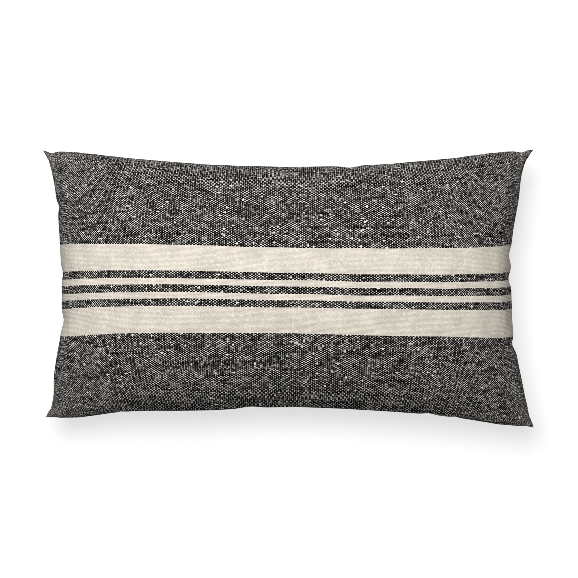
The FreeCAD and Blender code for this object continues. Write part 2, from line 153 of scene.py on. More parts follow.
def stuffed_place(u, v, face):
    """Where a point of the flat cloth, each way from -1 to 1, lies once the cover is stuffed."""
    half_x = SIDE_X + (TIP_X - SIDE_X) * v * v
    half_y = SIDE_Y + (TIP_Y - SIDE_Y) * u * u
    x = half_x * math.sin(u * ENDS_TUCK * math.pi / 2) / math.sin(ENDS_TUCK * math.pi / 2)
    y = half_y * math.sin(v * SIDES_TUCK * math.pi / 2) / math.sin(SIDES_TUCK * math.pi / 2)
    rise = max(0.0, 1 - abs(u) ** END_SQUARENESS) ** CROWN_CURVE * max(0.0, 1 - v * v) ** CROWN_CURVE
    return x, y, face * PLUMPNESS / 2 * rise


columns = 2 * round(CUT_LENGTH / CELL / 2)
rows = 2 * round(CUT_WIDTH / CELL / 2)
cloth_points = []
flat_points = []
grid = {1: np.zeros((rows + 1, columns + 1), int), -1: np.zeros((rows + 1, columns + 1), int)}
crumple = random.Random(5)
for face in (1, -1):
    for row in range(rows + 1):
        for column in range(columns + 1):
            on_seam = row in (0, rows) or column in (0, columns)
            if on_seam and face == -1:
                grid[face][row, column] = grid[1][row, column]
                continue
            grid[face][row, column] = len(cloth_points)
            u = 2 * column / columns - 1
            v = 2 * row / rows - 1
            x, y, z = stuffed_place(u, v, face)
            lift = 0.0 if on_seam else face * CRUMPLE * crumple.random()
            cloth_points.append((x, y, z + lift))
            flat_z = 0.0 if on_seam else face * CUT_GAP
            flat_points.append((u * CUT_LENGTH / 2, v * CUT_WIDTH / 2, flat_z))


def grid_quads(index, face):
    """The quads of a grid of point numbers, wound so that their normals leave the case."""
    quads = []
    for row in range(index.shape[0] - 1):
        for column in range(index.shape[1] - 1):
            quad = [
                int(index[row, column]), int(index[row, column + 1]),
                int(index[row + 1, column + 1]), int(index[row + 1, column]),
            ]
            quads.append(quad if face == 1 else quad[::-1])
    return quads


def shell_volume(points, faces):
    """The volume that a closed shell of quads holds."""
    p = np.array(points)
    q = np.array(faces)
    a, b, c, d = (p[q[:, k]] for k in range(4))
    return float((np.cross(a, b) * c).sum() + (np.cross(a, c) * d).sum()) / 6


def blow_up(points, flat, faces):
    """Lets the stuffed shape settle under pressure, and returns its points.

    It keeps about the start shape's own lengths: the flat cut's shape key has no effect on them here.
    """
    mesh = bpy.data.meshes.new("cloth_run")
    mesh.from_pydata(points, [], faces)
    run = bpy.data.objects.new("cloth_run", mesh)
    scene.collection.objects.link(run)
    run.shape_key_add(name="stuffed")
    cut = run.shape_key_add(name="cut")
    for key_point, place in zip(cut.data, flat):
        key_point.co = place
    cloth = run.modifiers.new("cloth", "CLOTH")
    settings = cloth.settings
    settings.quality = 8
    settings.mass = 0.15
    settings.tension_stiffness = 60
    settings.compression_stiffness = 20
    settings.shear_stiffness = 6
    settings.bending_stiffness = 0.4
    settings.tension_damping = 15
    settings.compression_damping = 15
    settings.shear_damping = 10
    settings.bending_damping = 0.5
    settings.air_damping = 4
    settings.use_pressure = True
    settings.use_pressure_volume = True
    settings.uniform_pressure_force = 0
    settings.target_volume = FULLNESS * shell_volume(points, faces)
    settings.pressure_factor = 20
    settings.effector_weights.gravity = 0
    settings.rest_shape_key = cut
    cloth.collision_settings.use_collision = False
    cloth.collision_settings.use_self_collision = False
    cloth.point_cache.frame_start = 1
    cloth.point_cache.frame_end = FRAMES
    for step in range(1, FRAMES + 1):
        scene.frame_set(step)
    evaluated = run.evaluated_get(bpy.context.evaluated_depsgraph_get())
    settled_mesh = evaluated.to_mesh()
    places = np.empty(len(settled_mesh.vertices) * 3)
    settled_mesh.vertices.foreach_get("co", places)
    evaluated.to_mesh_clear()
    bpy.data.objects.remove(run)
    scene.frame_set(1)
    return places.reshape(-1, 3)


settled = blow_up(cloth_points, flat_points, grid_quads(grid[1], 1) + grid_quads(grid[-1], -1))

# The settled cloth on finer lines, close together by the seams, for the pinches and the zip's lips
SEAM_LINES = (0.0, 0.0012, 0.0026, 0.0043, 0.0063, 0.0087, 0.0115, 0.0148)
FINE_CELL = 0.0037


def cloth_lines(cut):
    """Where the mesh lines lie across a cut width."""
    inner = cut / 2 - SEAM_LINES[-1]
    even = np.linspace(-inner, inner, 2 * round(inner / FINE_CELL) + 1)
    edge = cut / 2 - np.array(SEAM_LINES[:-1])
    return np.concatenate([-edge, even, edge[::-1]])


def spline_weights(count, places):
    """Weights that carry count + 1 evenly spaced values smoothly to places from 0 to count."""
    weights = np.zeros((len(places), count + 1))
    for line, place in enumerate(places):
        cell = min(max(int(place), 0), count - 1)
        t = place - cell
        shares = (
            -0.5 * t + t ** 2 - 0.5 * t ** 3,
            1 - 2.5 * t ** 2 + 1.5 * t ** 3,
            0.5 * t + 2 * t ** 2 - 1.5 * t ** 3,
            -0.5 * t ** 2 + 0.5 * t ** 3,
        )
        for step, share in enumerate(shares):
            k = cell - 1 + step
            if k < 0:
                weights[line, 0] += 2 * share
                weights[line, 1] -= share
            elif k > count:
                weights[line, count] += 2 * share
                weights[line, count - 1] -= share
            else:
                weights[line, k] += share
    return weights


def ease(value, low, high):
    """0 below low and 1 above high, with a smooth rise between."""
    t = np.clip((value - low) / (high - low), 0, 1)
    return t * t * (3 - 2 * t)


lines_u = cloth_lines(CUT_LENGTH)
lines_v = cloth_lines(CUT_WIDTH)
flat_u, flat_v = np.meshgrid(lines_u, lines_v)
along_u = spline_weights(columns, (lines_u / CUT_LENGTH + 0.5) * columns)
along_v = spline_weights(rows, (lines_v / CUT_WIDTH + 0.5) * rows)
from_left = CUT_LENGTH / 2 + flat_u
from_right = CUT_LENGTH / 2 - flat_u
from_bottom = CUT_WIDTH / 2 + flat_v
from_top = CUT_WIDTH / 2 - flat_v
from_end = np.minimum(from_left, from_right)
from_side = np.minimum(from_bottom, from_top)
from_seam = np.minimum(from_end, from_side)

# How much further out than an even pillow's the filling pushed each seam, in millimetres, at nine
# even places from end to end of it; the cloth inside follows over a hand's breadth
TOP_PUSH = (-1.0, 6.6, 5.8, 2.2, 0.5, 1.5, 5.2, 6.9, 0.0)
BOTTOM_PUSH = (-7.7, 2.6, 1.7, 4.4, 1.7, 4.4, 7.6, 11.2, 4.6)
LEFT_PUSH = (-1.8, 1.0, 7.2, 4.4, 4.8, 5.4, 4.4, 3.0, 1.4)
RIGHT_PUSH = (2.5, 6.0, 5.4, 1.7, 1.0, 0.2, 3.4, 0.9, 2.0)
PUSH_REACH = 0.06

# Where the seam stitches pinch the cloth: the side, the place along it, how deep and how wide
PINCHES = [
    (from_top, flat_u, -0.278, 0.0034, 0.014),
    (from_top, flat_u, 0.266, 0.0024, 0.011),
    (from_top, flat_u, 0.056, 0.0028, 0.007),
    (from_bottom, flat_u, -0.034, 0.0030, 0.010),
    (from_bottom, flat_u, 0.134, 0.0026, 0.007),
    (from_left, flat_v, 0.083, 0.0032, 0.006),
    (from_left, flat_v, 0.013, 0.0026, 0.006),
    (from_left, flat_v, -0.034, 0.0042, 0.007),
    (from_right, flat_v, 0.031, 0.0036, 0.007),
    (from_right, flat_v, 0.008, 0.0055, 0.006),
    (from_right, flat_v, -0.058, 0.0050, 0.006),
]
PINCH_REACH = 0.011
CREASE_REACH = 0.035


def side_push(pushes, places, cut):
    """The push at each place along one side, in metres."""
    steps = len(pushes) - 1
    at = (places / cut + 0.5) * steps
    return spline_weights(steps, at) @ np.array(pushes) / 1000


FACES_APART = 7.7


def soft_noise(face, scale, seed):
    """Smooth noise over the cloth, about -1 to 1, different on each face."""
    layer = seed + FACES_APART * face
    return np.array([[noise.noise(Vector((u * scale, v * scale, layer))) for u in lines_u] for v in lines_v])


# Each corner ends in an ear: how far it reaches along the two seams together, the share of it in which
# it straightens, and the thickness of the allowances folded inside
EAR = 0.017
EAR_BLEND = 0.6
EAR_THICK = 0.0016


def on_cloth(places, u, v):
    """The places of spots on the cloth, given by their flat measures."""
    column = np.interp(u, lines_u, np.arange(len(lines_u)))
    row = np.interp(v, lines_v, np.arange(len(lines_v)))
    c = np.minimum(column.astype(int), len(lines_u) - 2)
    r = np.minimum(row.astype(int), len(lines_v) - 2)
    over = (column - c)[..., None]
    up = (row - r)[..., None]
    lower = places[r, c] * (1 - over) + places[r, c + 1] * over
    upper = places[r + 1, c] * (1 - over) + places[r + 1, c + 1] * over
    return lower * (1 - up) + upper * up


def run_to_point(places, face):
    """Each corner runs out straight to its point, and is as thick as the allowances folded into it."""
    reach = from_end + from_side
    scale = EAR / np.maximum(reach, 1e-9)
    ring_u = np.sign(flat_u) * (CUT_LENGTH / 2 - from_end * scale)
    ring_v = np.sign(flat_v) * (CUT_WIDTH / 2 - from_side * scale)
    ring = on_cloth(places, ring_u, ring_v)
    tip = places[np.where(flat_v < 0, 0, len(lines_v) - 1), np.where(flat_u < 0, 0, len(lines_u) - 1)]
    share = np.minimum(reach / EAR, 1)[:, :, None]
    straight = tip + (ring - tip) * share
    pointed = places + (straight - places) * (1 - ease(share, EAR_BLEND, 1.0))
    folded_in = (1 - np.exp(-from_seam / EAR_THICK)) * (1 - ease(reach, EAR, 2 * EAR))
    pointed[:, :, 2] += face * EAR_THICK * folded_in
    return pointed


# A pinch draws the cloth in behind it as a crease, this many times as deep, which starts off the seam
CREASE_DEPTH = 1.2
CREASE_START = 0.008

# The seam puckers the cloth beside it and its own line wanders; the crown has soft lumps and dimples
PUCKER = 0.0010
PUCKER_START = 0.003
PUCKER_REACH = 0.010
SEAM_WANDER = 0.0006
SEAM_WANDER_REACH = 0.006
CROWN_LUMPS = 0.0016
CROWN_DIMPLES = 0.0004
CROWN_START = 0.05


def cloth_shape(face):
    """The settled cloth of one face, pushed, pinched and dimpled as this pillow is."""
    places = np.einsum("rk,kcx->rcx", along_v, settled[grid[face]])
    places = np.einsum("cl,rlx->rcx", along_u, places)
    places[:, :, 2] += seam_z
    near = [np.exp(-(away / PUSH_REACH) ** 2) for away in (from_top, from_bottom, from_left, from_right)]
    places[:, :, 1] += near[0] * side_push(TOP_PUSH, lines_u, CUT_LENGTH)[None, :]
    places[:, :, 1] -= near[1] * side_push(BOTTOM_PUSH, lines_u, CUT_LENGTH)[None, :]
    places[:, :, 0] -= near[2] * side_push(LEFT_PUSH, lines_v, CUT_WIDTH)[:, None]
    places[:, :, 0] += near[3] * side_push(RIGHT_PUSH, lines_v, CUT_WIDTH)[:, None]
    for away, along, place, depth, width in PINCHES:
        pinch = depth * np.exp(-((along - place) / width) ** 2)
        axis = 1 if along is flat_u else 0
        inward = -1.0 if away is from_top or away is from_right else 1.0
        places[:, :, axis] += inward * pinch * np.exp(-away / PINCH_REACH)
        crease = ease(away, 0.0, CREASE_START) * np.exp(-away / CREASE_REACH)
        places[:, :, 2] -= face * CREASE_DEPTH * pinch * crease
    pucker = np.exp(-from_seam / PUCKER_REACH) * ease(from_seam, 0.0, PUCKER_START)
    places[:, :, 2] += face * PUCKER * pucker * soft_noise(face, scale=95.0, seed=3.1)
    edge_only = np.exp(-from_seam / SEAM_WANDER_REACH)
    wander = soft_noise(0, scale=60.0, seed=9.4) * edge_only * SEAM_WANDER
    places[:, :, 0] += wander * (from_end < from_side) * np.sign(flat_u)
    places[:, :, 1] += wander * (from_side <= from_end) * np.sign(flat_v)
    lumps = CROWN_LUMPS * soft_noise(face, scale=13.0, seed=1.9)
    dimples = CROWN_DIMPLES * soft_noise(face, scale=42.0, seed=6.3)
    places[:, :, 2] += face * ease(from_seam, 0.0, CROWN_START) * (lumps + dimples)
    return run_to_point(places, face)


# The weight of the pillow presses its belly flat on the table
BELLY_BLEND = 0.012


def pressed(places):
    """Presses the lowest of the cloth flat on the table."""
    height = places[:, :, 2]
    flat_belly = BELLY_BLEND * np.exp((height - BELLY_BLEND) / BELLY_BLEND)
    places[:, :, 2] = np.where(height > BELLY_BLEND, height, flat_belly)
    return places


stuffed = {face: pressed(cloth_shape(face)) for face in (1, -1)}

# The seam lies in a shallow valley; along the zip the valley deepens to the slit between two lips
SEAM_DIP = 0.0012
DIP_WIDTH = 0.0019
SEAM_GAP = 0.0002
ZIP_END_U = (0.156, 0.168)
TAPE_SETBACK = 0.0021
zip_edge_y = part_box("zip_tape_upper")[0].y - TAPE_SETBACK
SLIT = 0.0008
LIP_WIDTH = 0.0085
LIP_RISE = 0.0066
LIP_CURVE = 0.8
LIP_FADE = (0.010, 0.026)
OUTER_LINE = 3
in_zip = (1 - ease(np.abs(flat_u), *ZIP_END_U)) * (flat_v < 0)


def sewn_shape(face):
    """The stuffed cloth with its seam valley and its zip lips."""
    places = stuffed[face].copy()
    places[:, :, 0] -= np.sign(flat_u) * SEAM_DIP * np.exp(-(from_end / DIP_WIDTH) ** 2)
    places[:, :, 1] -= np.sign(flat_v) * SEAM_DIP * np.exp(-(from_side / DIP_WIDTH) ** 2)
    places[:, :, 2] += face * SEAM_GAP * np.exp(-(from_seam / DIP_WIDTH) ** 2)
    outline_y = places[OUTER_LINE, :, 1][None, :]
    share = np.clip(from_bottom / LIP_WIDTH, 0, 1)
    lip_y = zip_edge_y + (outline_y - zip_edge_y) * np.sin(share * math.pi / 2)
    lip_z = seam_z + face * (SLIT + LIP_RISE * (from_bottom / LIP_WIDTH) ** LIP_CURVE)
    lip = in_zip * (1 - ease(from_bottom, *LIP_FADE))
    places[:, :, 1] += lip * (lip_y - places[:, :, 1])
    places[:, :, 2] += lip * (lip_z - places[:, :, 2])
    return places


sewn = {face: sewn_shape(face) for face in (1, -1)}

# The point numbers round the edge of a panel, anticlockwise from its lower left corner
last_row = len(lines_v) - 1
last_column = len(lines_u) - 1
rim = [(0, c) for c in range(last_column)]
rim += [(r, last_column) for r in range(last_row)]
rim += [(last_row, c) for c in range(last_column, 0, -1)]
rim += [(r, 0) for r in range(last_row, 0, -1)]
rim_rows = np.array([r for r, c in rim])
rim_columns = np.array([c for r, c in rim])
rim_zip = in_zip[rim_rows, rim_columns]


def inward_step(depth):
    """The step in from each rim point, on the flat cloth, to a line inside the seam, mitred at corners."""
    share_x = np.clip(1 - from_end[rim_rows, rim_columns] / depth, 0, 1)
    share_y = np.clip(1 - from_side[rim_rows, rim_columns] / depth, 0, 1)
    step_x = -np.sign(flat_u[rim_rows, rim_columns]) * share_x * depth
    step_y = -np.sign(flat_v[rim_rows, rim_columns]) * share_y * depth
    return np.stack([step_x, step_y], axis=1)


NEAR_CORNER = (0.020, 0.045)


def stepped_in(places, depth):
    """The plan of the line a depth inside the seam; in the narrow corners it keeps within the cloth."""
    step = inward_step(depth)
    edge = places[rim_rows, rim_columns][:, :2]
    u = flat_u[rim_rows, rim_columns] + step[:, 0]
    v = flat_v[rim_rows, rim_columns] + step[:, 1]
    along = np.maximum(from_end, from_side)[rim_rows, rim_columns]
    clear = ease(along, *NEAR_CORNER)[:, None]
    return on_cloth(places, u, v)[:, :2] * (1 - clear) + (edge + step) * clear


def add_piece(name, points, faces, flat=None):
    """A new mesh piece; flat gives each point's place on the flat cloth, for the weave."""
    mesh = bpy.data.meshes.new(name)
    mesh.from_pydata([tuple(float(k) for k in p) for p in points], [], faces)
    if flat is not None:
        layer = mesh.uv_layers.new(name="cloth")
        for loop in mesh.loops:
            layer.data[loop.index].uv = flat[loop.vertex_index]
    for polygon in mesh.polygons:
        polygon.use_smooth = True
    piece = bpy.data.objects.new(name, mesh)
    scene.collection.objects.link(piece)
    return piece


def thicken(piece, thickness, offset=-1.0):
    """Gives a sheet the thickness of its cloth: inwards from its right side, or both ways at offset 0."""
    solid = piece.modifiers.new("cloth_thickness", "SOLIDIFY")
    solid.thickness = thickness
    solid.offset = offset


# The end seams are eased in, so that the cloth lies a little closer there
END_EASE = 0.065
END_EASE_REACH = 0.024
gathers = 1 + END_EASE * np.exp(-from_end / END_EASE_REACH)
woven_flat = np.stack([flat_u, flat_v * gathers], axis=2)
ALLOWANCE_LINES = (0.003, 0.006, 0.009)
ALLOWANCE_GAP = 0.0003
LIP_HEM = 0.0011


def sewn_panel(name, places, face, zip_share, thickness):
    """One panel of a case, with its seam allowance turned in, and turned back beside the zip."""
    index = np.arange(places.shape[0] * places.shape[1]).reshape(places.shape[:2])
    points = places.reshape(-1, 3).tolist()
    flat = woven_flat.reshape(-1, 2).tolist()
    faces = grid_quads(index, face)
    edge = places[rim_rows, rim_columns]
    ring = index[rim_rows, rim_columns].tolist()
    for depth in ALLOWANCE_LINES:
        turned_in = np.column_stack([stepped_in(places, depth), edge[:, 2] + face * ALLOWANCE_GAP])
        turned_back = edge + np.array([0.0, LIP_HEM, face * depth])
        line = turned_in + zip_share[:, None] * (turned_back - turned_in)
        first = len(points)
        points += line.tolist()
        flat += (woven_flat[rim_rows, rim_columns] - inward_step(depth)).tolist()
        new_ring = list(range(first, first + len(rim)))
        for k in range(len(rim)):
            following = (k + 1) % len(rim)
            quad = [ring[following], ring[k], new_ring[k], new_ring[following]]
            faces.append(quad if face == 1 else quad[::-1])
        ring = new_ring
    panel = add_piece(name, points, faces, flat)
    thicken(panel, thickness)
    return panel


COVER_CLOTH = 0.0008
cover_front = sewn_panel("cover_front", sewn[1], 1, rim_zip, COVER_CLOTH)
cover_back = sewn_panel("cover_back", sewn[-1], -1, rim_zip, COVER_CLOTH)
for panel, node in ((cover_front, "cover_front_panel"), (cover_back, "cover_back_panel")):
    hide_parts(node)
    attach(panel, "root")


# The weave, yarn by yarn: one node group makes it for every woven cloth of the pillow
def add_math(tree, operation, *values):
    """A maths node in a node tree; each value is a socket or a number. Returns its result."""
    node = tree.nodes.new("ShaderNodeMath")
    node.operation = operation
    for socket, value in zip(node.inputs, values):
        if isinstance(value, (int, float)):
            socket.default_value = value
        else:
            tree.links.new(value, socket)
    return node.outputs[0]


def add_vector(tree, x, y, z):
    """A vector made from three sockets or numbers."""
    node = tree.nodes.new("ShaderNodeCombineXYZ")
    for socket, value in zip(node.inputs, (x, y, z)):
        if isinstance(value, (int, float)):
            socket.default_value = value
        else:
            tree.links.new(value, socket)
    return node.outputs[0]


def add_noise(tree, place, scale=1.0, detail=2.0, rough=0.5):
    """Smooth noise, from about 0 to 1, at a place."""
    node = tree.nodes.new("ShaderNodeTexNoise")
    node.inputs["Scale"].default_value = scale
    node.inputs["Detail"].default_value = detail
    node.inputs["Roughness"].default_value = rough
    tree.links.new(place, node.inputs["Vector"])
    return node.outputs["Fac"]


def add_random(tree, x, y, seed):
    """One random number for each pair of whole numbers."""
    node = tree.nodes.new("ShaderNodeTexWhiteNoise")
    node.noise_dimensions = "3D"
    tree.links.new(add_vector(tree, x, y, seed), node.inputs["Vector"])
    return node.outputs["Value"]


def add_range(tree, value, low, high, to_low=0.0, to_high=1.0):
    """Carries a value smoothly from one range to another, and holds it there."""
    node = tree.nodes.new("ShaderNodeMapRange")
    node.interpolation_type = "SMOOTHSTEP"
    node.inputs["From Min"].default_value = low
    node.inputs["From Max"].default_value = high
    node.inputs["To Min"].default_value = to_low
    node.inputs["To Max"].default_value = to_high
    tree.links.new(value, node.inputs["Value"])
    return node.outputs["Result"]


def add_blend(tree, amount, first, second):
    """Mixes two colours; each is a socket or a colour."""
    node = tree.nodes.new("ShaderNodeMix")
    node.data_type = "RGBA"
    colour_sockets = [s for s in node.inputs if s.type == "RGBA"]
    for socket, value in zip([node.inputs[0], *colour_sockets], (amount, first, second)):
        if isinstance(value, (int, float, tuple)):
            socket.default_value = value
        else:
            tree.links.new(value, socket)
    return next(s for s in node.outputs if s.type == "RGBA")


def new_group(name, inputs, outputs):
    """An empty node group; inputs are (name, kind, value) and outputs (name, kind)."""
    group = bpy.data.node_groups.new(name, "ShaderNodeTree")
    for title, kind, value in inputs:
        socket = group.interface.new_socket(name=title, in_out="INPUT", socket_type=kind)
        if value is not None:
            socket.default_value = value
    for title, kind in outputs:
        group.interface.new_socket(name=title, in_out="OUTPUT", socket_type=kind)
    return group, group.nodes.new("NodeGroupInput"), group.nodes.new("NodeGroupOutput")


def add_group(tree, group, **values):
    """Places a node group, with its own values; an underscore in a value's name stands for a space."""
    node = tree.nodes.new("ShaderNodeGroup")
    node.node_tree = group
    for title, value in values.items():
        socket = node.inputs[title.replace("_", " ")]
        if isinstance(value, (int, float)):
            socket.default_value = value
        else:
            tree.links.new(value, socket)
    return node


BOW_TURNS = 2 * math.pi / 0.60


def plain_weave():
    """Warp ends along V and weft picks along U, each over one and under one, with slubs in the weft."""
    group, given, made = new_group(
        "plain_weave",
        [
            ("Cloth", "NodeSocketVector", None),
            ("End Spacing", "NodeSocketFloat", 0.00183),
            ("Pick Spacing", "NodeSocketFloat", 0.00133),
            ("End Width", "NodeSocketFloat", 0.38),
            ("Pick Width", "NodeSocketFloat", 0.42),
            ("Wander", "NodeSocketFloat", 1.0),
            ("Bow", "NodeSocketFloat", 0.0),
            ("Unevenness", "NodeSocketFloat", 0.5),
            ("Slubs", "NodeSocketFloat", 1.0),
        ],
        [
            ("Warp", "NodeSocketFloat"),
            ("Height", "NodeSocketFloat"),
            ("Pick Middle", "NodeSocketFloat"),
            ("Pick Tone", "NodeSocketFloat"),
            ("Cell Tone", "NodeSocketFloat"),
        ],
    )
    split = group.nodes.new("ShaderNodeSeparateXYZ")
    group.links.new(given.outputs["Cloth"], split.inputs[0])
    u, v = split.outputs[0], split.outputs[1]

    def maths(operation, *values):
        return add_math(group, operation, *values)

    def drift(amount, scale_u, scale_v, layer):
        place = add_vector(group, maths("MULTIPLY", u, scale_u), maths("MULTIPLY", v, scale_v), layer)
        swing = maths("MULTIPLY", maths("SUBTRACT", add_noise(group, place), 0.5), amount)
        return maths("MULTIPLY", swing, given.outputs["Wander"])

    bowed = maths("MULTIPLY", maths("SINE", maths("MULTIPLY", u, BOW_TURNS)), given.outputs["Bow"])
    u_moved = maths("ADD", u, maths("ADD", drift(0.0022, 12.0, 12.0, 1.3), drift(0.0007, 260.0, 90.0, 4.7)))
    v_drift = maths("ADD", drift(0.0032, 11.0, 14.0, 8.1), drift(0.0008, 70.0, 300.0, 11.9))
    v_moved = maths("ADD", maths("ADD", v, bowed), v_drift)
    a = maths("DIVIDE", u_moved, given.outputs["End Spacing"])
    b = maths("DIVIDE", v_moved, given.outputs["Pick Spacing"])
    end = maths("FLOOR", a)
    pick = maths("FLOOR", b)
    x = maths("SUBTRACT", maths("SUBTRACT", a, end), 0.5)
    y = maths("SUBTRACT", maths("SUBTRACT", b, pick), 0.5)
    warp_over = maths("FLOORED_MODULO", maths("ADD", end, pick), 2.0)

    pick_tone = add_random(group, 0.0, pick, 17.0)
    cell_tone = add_random(group, end, pick, 5.0)
    slub_place = add_vector(group, maths("MULTIPLY", u, 42.0), maths("MULTIPLY", pick, 3.71), 2.2)
    slub_here = add_range(group, add_noise(group, slub_place, detail=3.0), 0.60, 0.70)
    slub = maths("MULTIPLY", slub_here, given.outputs["Slubs"])
    patch_place = add_vector(group, maths("MULTIPLY", u, 55.0), maths("MULTIPLY", v, 95.0), 6.6)
    patch = maths("SUBTRACT", add_noise(group, patch_place, detail=4.0, rough=0.62), 0.5)

    uneven = maths("ADD", maths("SUBTRACT", cell_tone, 0.5), maths("MULTIPLY", patch, 1.6))
    size = maths("ADD", 1.0, maths("MULTIPLY", uneven, given.outputs["Unevenness"]))
    size = maths("MULTIPLY", size, maths("SUBTRACT", 1.0, maths("MULTIPLY", slub, 0.75)))
    across_end = maths("DIVIDE", x, maths("MULTIPLY", given.outputs["End Width"], size))
    across_pick = maths("DIVIDE", y, maths("MULTIPLY", given.outputs["Pick Width"], size))
    end_round = maths("MULTIPLY", across_end, across_end)
    pick_round = maths("MULTIPLY", across_pick, across_pick)
    roundness = maths("ADD", end_round, pick_round)
    dome = maths("SUBTRACT", 1.0, roundness)
    warp = maths("MULTIPLY", warp_over, add_range(group, dome, -0.15, 0.20))
    warp_height = maths("MULTIPLY", warp_over, maths("MAXIMUM", dome, 0.0))
    weft_round = maths("SUBTRACT", 1.0, maths("MULTIPLY", maths("MULTIPLY", y, y), 4.0))
    weft_over = maths("SUBTRACT", 1.0, maths("MULTIPLY", warp_over, 0.55))
    weft_thick = maths("ADD", 0.7, maths("MULTIPLY", slub, 0.6))
    weft_height = maths("MULTIPLY", maths("MULTIPLY", weft_round, weft_over), weft_thick)

    group.links.new(warp, made.inputs["Warp"])
    group.links.new(maths("MAXIMUM", warp_height, weft_height), made.inputs["Height"])
    middle = maths("MULTIPLY", maths("ADD", pick, 0.5), given.outputs["Pick Spacing"])
    group.links.new(middle, made.inputs["Pick Middle"])
    group.links.new(pick_tone, made.inputs["Pick Tone"])
    group.links.new(cell_tone, made.inputs["Cell Tone"])
    return group


# From the group's upper edge to its lower one: a cream band, three dark stripes and a cream band
BAND_TOP = 0.0428
BAND_BOTTOM = -0.0519
DARK_STRIPES = [(0.0150, 0.0064), (0.0004, -0.0083), (-0.0141, -0.0226)]


def cream_bands():
    """1 where the weft is cream and 0 where it is dark, from the middle line of each pick."""
    group, given, made = new_group(
        "cream_bands", [("Pick Middle", "NodeSocketFloat", 0.0)], [("Cream", "NodeSocketFloat")]
    )
    v = given.outputs[0]

    def between(top, bottom):
        return add_math(group, "COMPARE", v, (top + bottom) / 2, (top - bottom) / 2)

    cream = between(BAND_TOP, BAND_BOTTOM)
    for top, bottom in DARK_STRIPES:
        cream = add_math(group, "SUBTRACT", cream, between(top, bottom))
    group.links.new(cream, made.inputs[0])
    return group


DARK_YARN = (0.0015, 0.0015, 0.0015, 1)
WORN_YARN = (0.016, 0.0145, 0.0135, 1)
CREAM_YARN = (0.905, 0.85, 0.74, 1)
GREY_CREAM = (0.63, 0.59, 0.52, 1)
SHADED_CREAM = (0.50, 0.44, 0.35, 1)
WARP_LIGHT = (0.88, 0.85, 0.81, 1)
WARP_SHADE = (0.42, 0.39, 0.36, 1)
END_SPACING = 0.00175
PICK_SPACING = 0.00133


def cover_cloth():
    """Near-black weft over a cream warp that shows as dots, with cream-weft bands and three stripes, and
    painted shade between the cream yarns.
    """
    finish = bpy.data.materials.new("striped_slub_cloth")
    finish.use_nodes = True
    tree = finish.node_tree
    shader = tree.nodes["Principled BSDF"]
    shader.inputs["Roughness"].default_value = 0.92
    shader.inputs["Specular IOR Level"].default_value = 0.02
    uv = tree.nodes.new("ShaderNodeUVMap")
    uv.uv_map = "cloth"
    weave = add_group(tree, weave_group, Cloth=uv.outputs[0], End_Spacing=END_SPACING,
                      Pick_Spacing=PICK_SPACING, End_Width=0.355, Pick_Width=0.40,
                      Unevenness=0.72, Bow=0.0021)
    bands = add_group(tree, bands_group, Pick_Middle=weave.outputs["Pick Middle"])

    blotch = add_range(tree, add_noise(tree, uv.outputs[0], 34.0, 4.0, 0.6), 0.36, 0.64)
    fleck = add_range(tree, add_noise(tree, uv.outputs[0], 420.0, 2.0, 0.5), 0.69, 0.73)
    dark = add_blend(tree, weave.outputs["Pick Tone"], DARK_YARN, WORN_YARN)
    half_cell_tone = add_math(tree, "MULTIPLY", weave.outputs["Cell Tone"], 0.5)
    mottle = add_math(tree, "ADD", half_cell_tone, add_math(tree, "MULTIPLY", blotch, 0.5))
    warm = add_blend(tree, mottle, GREY_CREAM, CREAM_YARN)
    # Painted shade: the cream weft darkens towards SHADED_CREAM where the weave is low, in the hollows
    # between yarns
    painted_hollow_shade = add_range(tree, weave.outputs["Height"], 0.0, 0.6, 0.60, 0.0)
    cream_weft = add_blend(tree, painted_hollow_shade, warm, SHADED_CREAM)
    weft = add_blend(tree, bands.outputs[0], dark, cream_weft)
    warp_yarn = add_blend(tree, weave.outputs["Cell Tone"], WARP_SHADE, WARP_LIGHT)
    warp_here = add_blend(tree, bands.outputs[0], warp_yarn, warm)
    colour = add_blend(tree, weave.outputs["Warp"], weft, warp_here)
    nep = add_range(tree, weave.outputs["Cell Tone"], 0.984, 0.988)
    flecked = add_blend(tree, add_math(tree, "MAXIMUM", fleck, nep), colour, CREAM_YARN)
    tree.links.new(flecked, shader.inputs["Base Color"])

    bump = tree.nodes.new("ShaderNodeBump")
    bump.inputs["Strength"].default_value = 0.5
    bump.inputs["Distance"].default_value = 0.0003
    tree.links.new(weave.outputs["Height"], bump.inputs["Height"])
    tree.links.new(bump.outputs[0], shader.inputs["Normal"])
    return finish


weave_group = plain_weave()
bands_group = cream_bands()
cloth_finish = cover_cloth()
for panel in (cover_front, cover_back):
    panel.data.materials.append(cloth_finish)

# ---------------------------------------------------------------------------------------------------
# The zip
# A fine coil zip behind the slit of the lower seam: two woven tapes inside the lips, each sewn down
# and edged with a nylon coil, a crimped stop at its closed end and one on each tape at its other end.
# ---------------------------------------------------------------------------------------------------
TAPE_THICK = 0.00055
TAPE_LEAN = 0.0011
TAPE_LINES = 9
TAPE_STEP = 0.003
TAPE_RIPPLE = 0.00012
LONG_RIPPLE = 67
SHORT_RIPPLE = 190


def zip_tape(name, node, side):
    """A woven tape from beside the slit up or down the inside of the lip."""
    low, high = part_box(node)
    foot_z = low.z if side == 1 else high.z
    head_z = high.z if side == 1 else low.z
    stations = np.linspace(low.x, high.x, round((high.x - low.x) / TAPE_STEP) + 1)
    shares = np.linspace(0, 1, TAPE_LINES)
    points = []
    flat = []
    for share in shares:
        for x in stations:
            ripple = TAPE_RIPPLE * share * math.sin(x * SHORT_RIPPLE + side) * math.sin(x * LONG_RIPPLE)
            y = low.y + TAPE_THICK / 2 + TAPE_LEAN * share + ripple
            points.append((x, y, foot_z + (head_z - foot_z) * share))
            flat.append((x, share * abs(head_z - foot_z)))
    index = np.arange(len(points)).reshape(len(shares), len(stations))
    tape = add_piece(name, points, grid_quads(index, side), flat)
    thicken(tape, TAPE_THICK, offset=0.0)
    return tape


